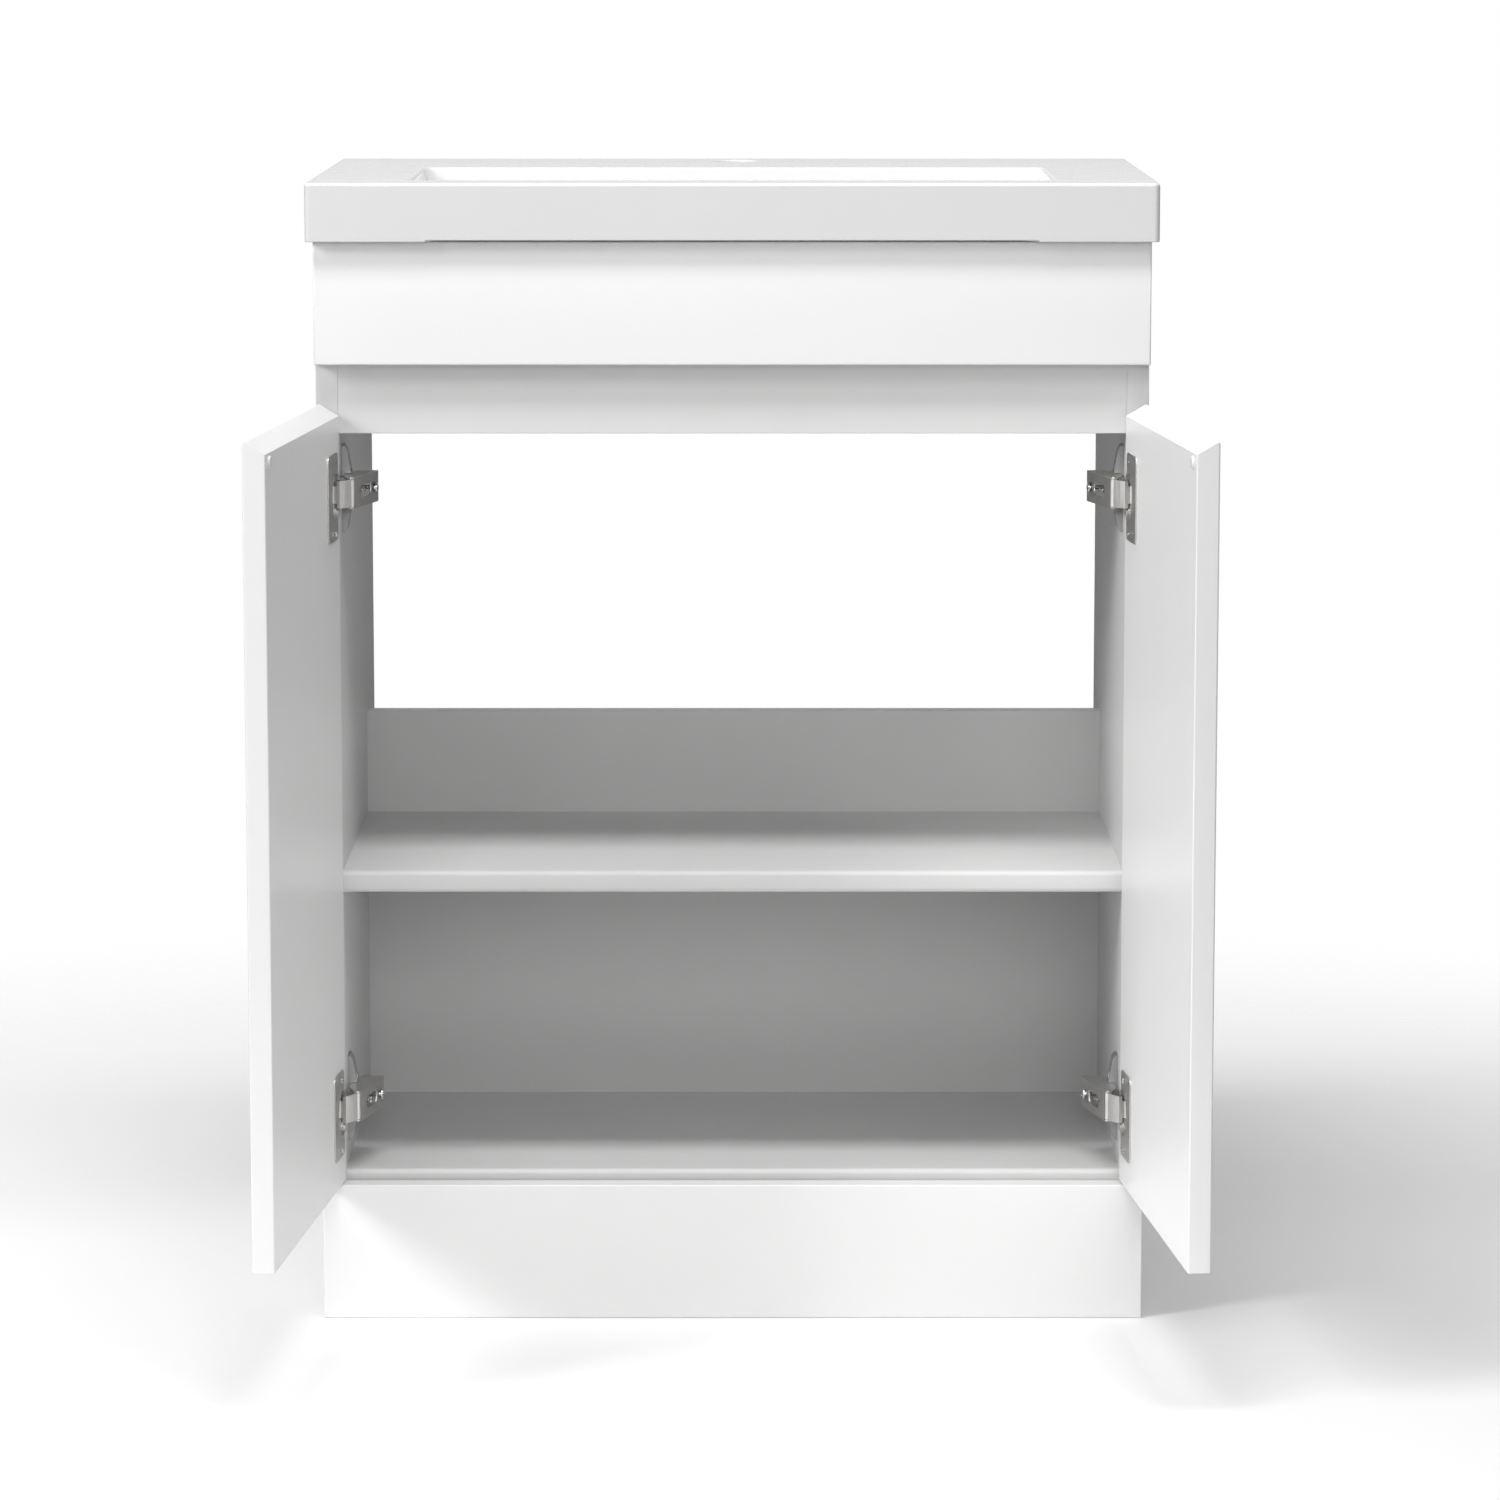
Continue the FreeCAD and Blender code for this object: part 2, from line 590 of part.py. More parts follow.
def make_basin():
    basin = new_body("basin")
    slab = add_sketch(basin, "XY_Plane", size("carcass_height"))
    half = size("basin_width") / 2
    draw_rounded_rectangle(
        slab, -half, BASIN_FRONT, size("basin_width"), size("basin_depth"), size("basin_corner")
    )
    add_pad(basin, slab, size("basin_edge"))
    hollow = add_sketch(basin, "XY_Plane", size("carcass_height"))
    rim = size("basin_rim")
    hollow_front = BASIN_FRONT + rim + size("hollow_setback")
    draw_rounded_rectangle(
        hollow,
        -half + rim,
        hollow_front,
        size("basin_width") - rim * 2,
        BASIN_BACK - rim - hollow_front,
        size("hollow_corner"),
    )
    add_pocket(basin, hollow, size("basin_edge") - size("basin_deck"), reverse=True)
    wall = size("basin_wall")
    add_bowl_loft(basin, "PartDesign::AdditiveLoft", wall)
    add_bowl_loft(basin, "PartDesign::SubtractiveLoft", ZERO)
    relief = add_sketch(basin, "XY_Plane", size("carcass_height"))
    draw_rectangle(
        relief,
        -size("relief_width") / 2,
        BASIN_FRONT - 1,
        size("relief_width"),
        size("basin_overhang") + 1,
    )
    add_pocket(basin, relief, size("relief_depth"), reverse=True)
    tap_place = (ZERO, BASIN_BACK - size("tap_back"), BASIN_TOP)
    drill(basin, tap_place, "-Z", size("tap_radius"), size("basin_deck"))
    bowl_middle = BOWL_FRONT + size("bowl_length") / 2
    waste_top = BASIN_TOP - size("bowl_depth")
    drill(basin, (ZERO, bowl_middle, waste_top), "-Z", size("waste_radius"), wall + 1)
    ease(basin, size("bowl_floor_round"), lambda e: is_level(e, waste_top) and not is_round(e))
    ease(basin, size("basin_round"), lambda e: is_level(e, BASIN_TOP) and not is_round(e))
    ease(basin, size("hole_round"), lambda e: is_level(e, BASIN_TOP) and is_round(e))


def is_level(edge, height):
    box = edge.BoundBox
    return abs(box.ZMin - height.value) < 1e-4 and abs(box.ZMax - height.value) < 1e-4


def is_round(edge):
    return edge.Curve.TypeId == "Part::GeomCircle" and edge.Closed


make_basin()

# ---------------------------------------------------------------- hinge geometry

# In plan, a hinge is drawn with 'in' measured from the carcass side's outer face towards the
# middle, and y as everywhere.  'plan' mirrors such a point to the left or right side.
# The link, cup and door are drawn shut, then placed open.
OPEN = size("open_angle").value
SWING = size("link_swing").value
ARM_PIN = (size("arm_pin_in").value, size("arm_pin_front").value)
DOOR_EDGE = size("door_inset").value
DOOR_FACE = -size("door_gap").value
CUP_PIN = (
    DOOR_EDGE + size("cup_pin_edge").value,
    DOOR_FACE - size("cup_pin_deep").value,
)


def plan(sign, inward, y, z=0.0):
    return Vector(sign * (HALF_WIDTH.value - inward), y, z)


def link_placement(sign):
    """From shut to open for a hinge link."""
    pin = plan(sign, *ARM_PIN)
    return turned_about(pin.x, pin.y, -sign * SWING)


def door_placement(sign):
    """From shut to open for a door and what is fixed to it."""
    pin = plan(sign, *CUP_PIN)
    return link_placement(sign).multiply(turned_about(pin.x, pin.y, sign * (OPEN + SWING)))


def flat_prism(sign, points, z_from, z_to):
    """An upright prism on an outline drawn in plan."""
    ring = [plan(sign, *point, z_from) for point in points]
    face = Part.Face(Part.makePolygon(ring + ring[:1]))
    return face.extrude(Vector(0, 0, z_to - z_from))


def strip_outline(points, thickness):
    """The outline of a bent strip: its centre line moved to both sides, with mitred bends."""
    flat = [Vector(a, b, 0) for a, b in points]
    normals = []
    for start, end in zip(flat, flat[1:]):
        way = (end - start).normalize()
        normals.append(Vector(-way.y, way.x, 0))
    near, far = [], []
    for i, point in enumerate(flat):
        before = normals[max(i - 1, 0)]
        after = normals[min(i, len(normals) - 1)]
        # half a thickness along each normal is met by thickness * (n + m) / |n + m|^2
        mitre = before + after
        mitre = mitre.multiply(thickness / mitre.dot(mitre))
        near.append((point.x + mitre.x, point.y + mitre.y))
        far.append((point.x - mitre.x, point.y - mitre.y))
    return near + far[::-1]


def upright_pin(sign, inward, y, radius, z_from, z_to):
    return Part.makeCylinder(radius, z_to - z_from, plan(sign, inward, y, z_from))


# ---------------------------------------------------------------- doors

DOOR_HEIGHTS = {name: height - size("door_bottom") for name, height in HINGE_HEIGHTS.items()}
CUP_SCREW_OFFSETS = (-26, 26)
CUP_SCREW_EDGE = 30
CUP_SCREW_IN = Length(10)
INNER_EDGE_ROUND = Length(1)
BUFFER_RADIUS, BUFFER_THICK, BUFFER_ROUND = 4.5, 1.6, 0.8
BUFFER_FROM_FREE_EDGE, BUFFER_FROM_TOP = 14, 15.5


def make_door(side, sign):
    """Drawn shut, with its own origin at the lower hinge corner of the inner face."""
    door = doc.addObject("PartDesign::Body", f"door_{side}")
    door.Label = f"door_{side}"
    section = add_sketch(door, "YZ_Plane")
    thick, height = size("door_thick"), size("door_height")
    draw_outline(
        section,
        [(ZERO, ZERO), (ZERO, height - size("door_bevel")), (-thick, height), (-thick, ZERO)],
    )
    add_pad(door, section, size("door_width"), reverse=sign > 0)
    ease(door, size("front_round"), at_y(-thick.value))
    ease(door, INNER_EDGE_ROUND, lambda e: at_y(0)(e) and e.BoundBox.ZLength > 1)
    for height in DOOR_HEIGHTS.values():
        cup = size("cup_centre") * -sign
        drill(door, (cup, ZERO, height), "-Y", size("cup_radius"), size("cup_depth"))
        for offset in CUP_SCREW_OFFSETS:
            place = (-sign * CUP_SCREW_EDGE, ZERO, height + offset)
            drill(door, place, "-Y", SCREWS["cup"].shank_radius, CUP_SCREW_IN)
    hinge_corner = plan(sign, DOOR_EDGE, DOOR_FACE, size("door_bottom").value)
    door.Placement = door_placement(sign).multiply(Placement(hinge_corner, Rotation()))


def door_point(sign, from_edge, deep, z):
    """A point on a shut door, from its hinge edge and below its inner face."""
    return plan(sign, DOOR_EDGE + from_edge, DOOR_FACE - deep, z)


def facing_door(radius, length, sign, from_edge, deep, z):
    """A round bar that runs into the shut door's face."""
    at = door_point(sign, from_edge, deep, z)
    return Part.makeCylinder(radius, length, at, Vector(0, -1, 0))


# The cup's flange and rim, and the cheeks in its bowl that carry the cup pin.
FLANGE_ROUND, RIM_WIDTH = 5, 1.2
CHEEK_DEEP, CHEEK_FROM_EDGE = (2.0, 5.6), (2.4, 8.9)
CHEEK_CLEARANCE = 0.4
CUP_PIN_RADIUS, ARM_PIN_RADIUS = 1.25, 1.5


def make_cup(side, sign, level, height):
    """A pressed cup with a flange, and two cheeks that carry the cup pin."""
    centre, radius = size("cup_centre").value, size("cup_radius").value
    wall, thick = size("cup_wall").value, size("flange_thick").value
    depth = size("cup_depth").value
    start, width = size("flange_start").value, size("flange_width").value
    half = size("flange_height").value / 2
    corners = [
        door_point(sign, start, 0, height - half),
        door_point(sign, start + width, -thick, height + half),
    ]
    low = Vector(*[min(a, b) for a, b in zip(*corners)])
    plate = Part.makeBox(width, thick, 2 * half, low)
    corner_edges = [e for e in plate.Edges if e.BoundBox.YLength > thick / 2]
    plate = plate.makeFillet(FLANGE_ROUND, corner_edges)
    rim = facing_door(radius + RIM_WIDTH, thick, sign, centre, -thick, height)
    cup = facing_door(radius, depth, sign, centre, 0, height)
    bowl = facing_door(radius - wall, depth - wall + thick, sign, centre, -thick, height)
    whole = plate.fuse([rim, cup]).cut(bowl)
    tongue = size("tongue_half").value + CHEEK_CLEARANCE
    first = door_point(sign, CHEEK_FROM_EDGE[0], CHEEK_DEEP[0], 0)
    last = door_point(sign, CHEEK_FROM_EDGE[1], CHEEK_DEEP[1], 0)
    corner = Vector(min(first.x, last.x), last.y, height - radius)
    cheek = Part.makeBox(abs(last.x - first.x), first.y - last.y, 2 * radius, corner)
    corner.z = height - tongue
    gap = Part.makeBox(abs(last.x - first.x), first.y - last.y, 2 * tongue, corner)
    inside = facing_door(radius - wall / 2, depth, sign, centre, 0, height)
    whole = whole.fuse(cheek.common(inside).cut(gap))
    pin_reach = size("link_half").value
    hole = upright_pin(sign, *CUP_PIN, CUP_PIN_RADIUS, height - pin_reach, height + pin_reach)
    whole = whole.cut(hole)
    screw_radius = SCREWS["cup"].shank_radius
    for offset in CUP_SCREW_OFFSETS:
        at = (sign, CUP_SCREW_EDGE, -thick, height + offset)
        whole = whole.cut(facing_door(screw_radius, thick, *at))
    add_solid(f"hinge_cup_{side}_{level}", whole, door_placement(sign))


LINK_THICK = 1.8
ARM_EYE_RADIUS, ARM_EYE_BORE = 2.4, 1.55
CUP_EYE_RADIUS, CUP_EYE_BORE = 2.0, 1.3


def make_link(side, sign, level, height):
    """The cranked link: a bent strip with an eye at each end, narrower inside the cup."""
    start, end = Vector(*CUP_PIN, 0), Vector(*ARM_PIN, 0)
    along = (end - start).normalize()
    across = Vector(-along.y, along.x, 0)
    length = (end - start).Length
    first_bend = start + along * (0.12 * length) - across * 5
    second_bend = start + along * (0.6 * length) - across * 4
    wide_from = start + (first_bend - start) * 0.65
    route = [start, first_bend, second_bend, end]
    wide_route = [wide_from, first_bend, second_bend, end]
    half, tongue = size("link_half").value, size("tongue_half").value

    def strip(points, reach):
        outline = strip_outline([(p.x, p.y) for p in points], LINK_THICK)
        return flat_prism(sign, outline, height - reach, height + reach)

    def upright(pin, radius, reach):
        return upright_pin(sign, *pin, radius, height - reach, height + reach)

    whole = strip(wide_route, half).fuse(
        [
            strip(route, tongue),
            upright(ARM_PIN, ARM_EYE_RADIUS, half),
            upright(CUP_PIN, CUP_EYE_RADIUS, tongue),
        ]
    )
    whole = whole.cut(upright(ARM_PIN, ARM_EYE_BORE, half))
    whole = whole.cut(upright(CUP_PIN, CUP_EYE_BORE, tongue))
    add_solid(f"hinge_link_{side}_{level}", whole, link_placement(sign))


# The arm's web slopes inwards between two bends; its cheeks stand on the plate at ARM_SEAT.
WEB_START, WEB_END = (28.0, 0.5), (40.5, 50.0)
WEB_NOSE, WEB_TAIL = (26.2, -2.4), (40.5, 55.0)
WEB_THICK = size("sheet_thick").value
ARM_SEAT = 18.5
NOSE_RADIUS, LINK_SWEEP_RADIUS = 2.9, 2.8
ARM_SLOT_HALF, ARM_SLOT = 4.6, (15.0, 30.0)
CLAMP_HOLE_RADIUS = 2.1
ARM_SCREWS = {"side_adjusting_screws": 21.0, "arm_fixing_screws": 42.0}
HEAD_ABOVE_WEB = {"side_adjusting_screws": -1.2, "arm_fixing_screws": 1.5}


def web_inward(y):
    """How far in the arm's web lies at a depth y."""
    share = (y - WEB_START[1]) / (WEB_END[1] - WEB_START[1])
    return WEB_START[0] + share * (WEB_END[0] - WEB_START[0])


def make_arm(side, sign, level, height):
    """A folded channel: a sloping web with a long slot, and two cheeks that hold the arm pin."""
    half = size("arm_half").value
    reach = half - WEB_THICK
    web = flat_prism(
        sign,
        strip_outline([WEB_NOSE, WEB_START, WEB_END, WEB_TAIL], WEB_THICK),
        height - half,
        height + half,
    )
    cheek_outline = [
        (25.9, -2.6), (28.4, 0.5), (40.9, 50.0), (40.9, 55.0),
        (27.0, 55.0), (ARM_SEAT, 44.0), (ARM_SEAT, 12.0), (22.6, -1.6),
    ]
    whole = web
    for low in (-half, reach):
        cheek = flat_prism(sign, cheek_outline, height + low, height + low + WEB_THICK)
        bottom, top = height + low, height + low + WEB_THICK
        nose = upright_pin(sign, *ARM_PIN, NOSE_RADIUS, bottom, top)
        whole = whole.fuse([cheek, nose])
    whole = whole.cut(upright_pin(sign, *ARM_PIN, ARM_PIN_RADIUS, height - half, height + half))
    # the link sweeps the nose between the cheeks
    swept = upright_pin(sign, *ARM_PIN, LINK_SWEEP_RADIUS, height - reach, height + reach)
    whole = whole.cut(swept)
    # slot and holes are cut right through the web, from its outer side to its inner one
    outer, inner = BOARD.value, WEB_END[0] + 10
    through = inner - outer
    cut_x = min(plan(sign, outer, 0).x, plan(sign, inner, 0).x)

    def bore(radius, y):
        return Part.makeCylinder(radius, through, Vector(cut_x, y, height), Vector(1, 0, 0))

    slot_corner = Vector(cut_x, ARM_SLOT[0], height - ARM_SLOT_HALF)
    middle = Part.makeBox(through, ARM_SLOT[1] - ARM_SLOT[0], 2 * ARM_SLOT_HALF, slot_corner)
    ends = [bore(ARM_SLOT_HALF, y) for y in ARM_SLOT]
    clamp = bore(CLAMP_HOLE_RADIUS, ARM_SCREWS["arm_fixing_screws"])
    whole = whole.cut([middle, *ends, clamp])
    add_solid(f"hinge_arm_{side}_{level}", whole)


WING_DEPTH = 18.0
RAIL_HALF, RAIL_FROM, RAIL_TO = 9.4, 12.0, 54.0
GROOVE_WIDTH = 2.0
SCREW_SEAT, SCREW_SEAT_RADIUS = 3.6, 3.9
PLATE_SCREW_IN = Length(11)


def make_plate(side, sign, level, height):
    """The mounting plate: a block under the arm with two wings that thin towards their tips."""
    half = size("plate_half").value
    base, block = BOARD.value, 24.5
    back = size("plate_back").value
    profile = [
        (base, -half), (base + 2, -half), (base + 4, -half + 3), (base + 6.5, -14.0),
        (base + 7.5, -RAIL_HALF), (base + 7.5, RAIL_HALF), (base + 6.5, 14.0),
        (base + 4, half - 3), (base + 2, half), (base, half),
    ]
    front = back - WING_DEPTH / 2
    ring = [plan(sign, inward, front, height + z) for inward, z in profile]
    wings = Part.Face(Part.makePolygon(ring + ring[:1])).extrude(Vector(0, WING_DEPTH, 0))
    rail_outline = [
        (base, RAIL_FROM), (base, RAIL_TO), (block - 2.5, RAIL_TO),
        (block, RAIL_TO - 4), (block, RAIL_FROM),
    ]
    rail = flat_prism(sign, rail_outline, height - RAIL_HALF, height + RAIL_HALF)
    whole = wings.fuse(rail)
    # two grooves between rail and wings seat the arm's cheeks
    groove = [
        (ARM_SEAT, RAIL_FROM), (ARM_SEAT, RAIL_TO), (block, RAIL_TO), (block, RAIL_FROM),
    ]
    for low in (-RAIL_HALF - GROOVE_WIDTH, RAIL_HALF):
        bottom = height + low
        whole = whole.cut(flat_prism(sign, groove, bottom, bottom + GROOVE_WIDTH))
    inward_way = Vector(-sign, 0, 0)
    for offset in (-1, 1):
        z = height + offset * size("screw_pitch").value / 2
        hole_at, seat_at = plan(sign, base, back, z), plan(sign, base + SCREW_SEAT, back, z)
        plate_hole = SCREWS["plate"].shank_radius
        whole = whole.cut(Part.makeCylinder(plate_hole, block - base, hole_at, inward_way))
        whole = whole.cut(Part.makeCylinder(SCREW_SEAT_RADIUS, block - base, seat_at, inward_way))
    for y in ARM_SCREWS.values():
        hole_at = plan(sign, base, y, height)
        whole = whole.cut(Part.makeCylinder(2.0, block - base, hole_at, inward_way))
    add_solid(f"mounting_plate_{side}_{level}", whole)


plate_screws = []
arm_screws = {name: [] for name in ARM_SCREWS}
arm_pins = []
for side, sign in SIDES.items():
    make_door(side, sign)
    cup_pins, cup_screws = [], []
    outward = "+X" if sign > 0 else "-X"
    for level, hinge_z in HINGE_HEIGHTS.items():
        height = hinge_z.value
        make_cup(side, sign, level, height)
        make_link(side, sign, level, height)
        make_arm(side, sign, level, height)
        make_plate(side, sign, level, height)
        reach = size("link_half").value - 0.4
        pin = upright_pin(sign, *CUP_PIN, CUP_PIN_RADIUS, height - reach, height + reach)
        cup_pins.append(pin)
        reach = size("arm_half").value + 0.5
        pin = upright_pin(sign, *ARM_PIN, ARM_PIN_RADIUS, height - reach, height + reach)
        arm_pins.append(pin)
        for offset in CUP_SCREW_OFFSETS:
            under = size("flange_thick").value
            at = door_point(sign, CUP_SCREW_EDGE, -under, height + offset)
            cup_screws.append(screw(at, "-Y", "cup", CUP_SCREW_IN.value + under))
        for offset in (-1, 1):
            z = height + offset * size("screw_pitch").value / 2
            seat = plan(sign, BOARD.value + SCREW_SEAT, size("plate_back").value, z)
            plate_screws.append(screw(seat, outward, "plate", SCREW_SEAT + PLATE_SCREW_IN.value))
            hole_start = plan(sign, BOARD.value, size("plate_back").value, z)
            plate_hole = SCREWS["plate"].shank_radius
            drill(side_panels[side], hole_start, outward, plate_hole, PLATE_SCREW_IN)
        for name, y in ARM_SCREWS.items():
            top = web_inward(y) + HEAD_ABOVE_WEB[name]
            reach = top - BOARD.value - 0.5
            arm_screws[name].append(screw(plan(sign, top, y, height), outward, name, reach))
    for label, solids in (("cup_pins", cup_pins), ("cup_screws", cup_screws)):
        group = add_group(f"{label}_{side}", solids)
        group.Placement = door_placement(sign)
    buffer_z = (size("door_bottom") + size("door_height")).value - BUFFER_FROM_TOP
    from_edge = size("door_width").value - BUFFER_FROM_FREE_EDGE
    pad = facing_door(BUFFER_RADIUS, BUFFER_THICK, sign, from_edge, -BUFFER_THICK, buffer_z)
    outer_rim = [e for e in pad.Edges if abs(e.BoundBox.YMin - DOOR_FACE - BUFFER_THICK) < 1e-6]
    pad = pad.makeFillet(BUFFER_ROUND, outer_rim)
    add_solid(f"door_buffer_{side}", pad, door_placement(sign))
add_group("plate_screws", plate_screws)
add_group("hinge_arm_pins", arm_pins)
for name, solids in arm_screws.items():
    add_group(name, solids)

# ---------------------------------------------------------------- checks and output

doc.recompute()
pieces = []
for item in doc.Objects:
    bad = [state for state in item.State if state in ("Invalid", "Error")]
    if bad:
        raise RuntimeError(f"{item.Label} did not build: {bad}")
    if item.TypeId in ("PartDesign::Body", "Part::Feature"):
        pieces.append(item)
os.makedirs("parts", exist_ok=True)
for piece in pieces:
    shape = piece.Shape
    if shape.isNull() or not shape.isValid() or not shape.Solids:
        raise RuntimeError(f"{piece.Label} has no sound solid")
    shape.exportStep(f"parts/{piece.Label}.step")
print(len(pieces), "nodes")
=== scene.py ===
"""Detailed pieces and finishes of a floor-standing vanity cabinet, built round its fixed frame."""

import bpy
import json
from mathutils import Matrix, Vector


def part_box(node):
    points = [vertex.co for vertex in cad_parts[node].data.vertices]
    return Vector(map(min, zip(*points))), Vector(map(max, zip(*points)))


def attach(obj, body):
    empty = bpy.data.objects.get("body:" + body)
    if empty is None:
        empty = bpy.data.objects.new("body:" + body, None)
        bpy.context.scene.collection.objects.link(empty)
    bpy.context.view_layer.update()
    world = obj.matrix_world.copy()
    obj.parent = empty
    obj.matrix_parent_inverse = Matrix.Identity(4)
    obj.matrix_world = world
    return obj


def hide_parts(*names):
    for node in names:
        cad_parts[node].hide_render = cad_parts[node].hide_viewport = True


bl_info = {
    "name": "Vanity Cabinet",
    "version": (1, 0, 0),
    "blender": (4, 5, 0),
    "location": "3D View > Sidebar > Vanity",
    "description": "Builds the boards, basin, doors, hinges and screws of a vanity cabinet",
    "category": "Object",
}

import json
import math
from collections import namedtuple
from functools import partial

import bmesh
import bpy
import numpy as np
from bpy.props import FloatProperty, FloatVectorProperty, IntProperty, PointerProperty
from mathutils import Euler, Vector

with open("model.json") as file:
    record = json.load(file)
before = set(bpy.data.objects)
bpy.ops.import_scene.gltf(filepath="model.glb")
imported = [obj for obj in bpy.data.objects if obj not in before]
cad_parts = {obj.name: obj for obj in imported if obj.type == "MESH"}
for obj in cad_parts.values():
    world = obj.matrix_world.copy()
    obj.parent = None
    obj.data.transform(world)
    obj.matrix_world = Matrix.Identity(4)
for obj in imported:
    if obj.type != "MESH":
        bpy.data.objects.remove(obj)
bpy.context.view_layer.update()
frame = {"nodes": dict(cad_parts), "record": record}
BODY_OF = {n: body for body, nodes in frame["record"]["behaviour"]["bodies"].items() for n in nodes}
SIDES = ("left", "right")
LEVELS = ("lower", "upper")
MM = 0.001

# A board's edges, each as the axis it faces along and the sign of that side.
LEFT_END, RIGHT_END, FRONT, UNDERSIDE, TOP = (0, -1), (0, 1), (1, -1), (2, -1), (2, 1)

MERGE_WITHIN, FLAT_WITHIN = 0.001 * MM, math.radians(0.4)
SHARP_TURN, SHARP_TURN_GROWN = math.radians(50), math.radians(40)
BUFFER_ROUND = 0.1 * MM

# ---------------------------------------------------------------- settings


def colour_setting(name, default, description):
    """A colour in the sidebar."""
    return FloatVectorProperty(
        name=name, description=description, default=default, subtype="COLOR", size=3, min=0, max=1
    )


def length_setting(name, millimetres, description):
    """A length in the sidebar, given here in millimetres."""
    return FloatProperty(
        name=name, description=description, default=millimetres * MM, unit="LENGTH", min=0
    )


class VanityFinishes(bpy.types.PropertyGroup):
    """Colours and sheen of the cabinet's surfaces."""

    laminate: colour_setting("Laminate", (0.67, 0.67, 0.668), "Faces of the carcass boards")
    band: colour_setting("Edge band", (0.71, 0.71, 0.708), "Glued strips on the boards' edges")
    lacquer: colour_setting("Lacquer", (0.84, 0.84, 0.838), "Door, fascia and plinth fronts")
    glaze: colour_setting("Glaze", (0.72, 0.72, 0.718), "The wash basin")
    nickel: colour_setting("Nickel", (0.60, 0.59, 0.57), "Hinge cups and arms, shelf pins")
    link: colour_setting("Link", (0.72, 0.71, 0.70), "Hinge links")
    zinc: colour_setting("Zinc", (0.66, 0.67, 0.68), "Screws and bolts")
    cast: colour_setting("Cast zinc", (0.38, 0.38, 0.385), "Cam nuts and mounting plates")
    beech: colour_setting("Beech", (0.55, 0.36, 0.19), "Dowels")
    buffer: colour_setting("Buffer", (0.77, 0.78, 0.77), "Soft buffers on the doors")
    floor: colour_setting("Floor", (0.91, 0.91, 0.91), "The floor the cabinet stands on")
    laminate_roughness: FloatProperty(
        name="Laminate roughness", description="Sheen of the boards", default=0.42, min=0, max=1
    )
    glaze_roughness: FloatProperty(
        name="Glaze roughness", description="Sheen of the basin", default=0.12, min=0, max=1
    )


class VanityEdges(bpy.types.PropertyGroup):
    """How far the edges of each kind of piece are rounded."""

    shelf_back: length_setting("Shelf back", 0.5, "Rounding of the shelf's back edges")
    basin: length_setting("Basin", 2.2, "Rounding of the basin's upper edges")
    mouth: length_setting("Bowl mouth", 3.0, "Rounding of the bowl's mouth")
    nose: length_setting("Shelf nose", 4.0, "Rounding of the shelf's front edge")
    sheet: length_setting("Hinge sheet", 0.16, "Rounding of the pressed steel edges")
    fitting: length_setting("Fittings", 0.25, "Rounding of shelf pins, dowels, cam nuts and bolts")
    band: length_setting("Band thickness", 1.0, "Thickness of the strips on the boards' edges")
    steps: IntProperty(name="Steps", description="Faces across a rounding", default=2, min=1, max=6)


class VanityStudio(bpy.types.PropertyGroup):
    """Camera and light."""

    lens: FloatProperty(name="Lens", description="Focal length, mm", default=139.1, min=1)
    camera_back: FloatProperty(
        name="Camera distance", description="Camera before the carcass front", default=4.1658,
        unit="LENGTH",
    )
    camera_up: FloatProperty(
        name="Camera height", description="Camera above the floor", default=1.032, unit="LENGTH"
    )
    camera_aside: FloatProperty(
        name="Camera aside", description="Camera right of the middle", default=0.0127,
        unit="LENGTH",
    )
    camera_down: FloatProperty(
        name="Camera tilt", description="How far the camera looks down", default=0.146,
        subtype="ANGLE",
    )
    surround: FloatProperty(
        name="Surround", description="Light from the white surround", default=0.17, min=0
    )


# ---------------------------------------------------------------- finishes

# Nearly all of a noise's values lie between these two.
NOISE_LOW, NOISE_HIGH = 0.3, 0.7

# The floor is whole within the first distance from its middle, and gone past the second.
FLOOR_FADE = (0.5, 1.7)


def remap(tree, source, before, after, interpolation="LINEAR"):
    """A value moved from one range to another and held inside it."""
    node = tree.nodes.new("ShaderNodeMapRange")
    node.interpolation_type = interpolation
    for label, value in zip(("From Min", "From Max", "To Min", "To Max"), (*before, *after)):
        node.inputs[label].default_value = value
    tree.links.new(source, node.inputs["Value"])
    return node.outputs["Result"]


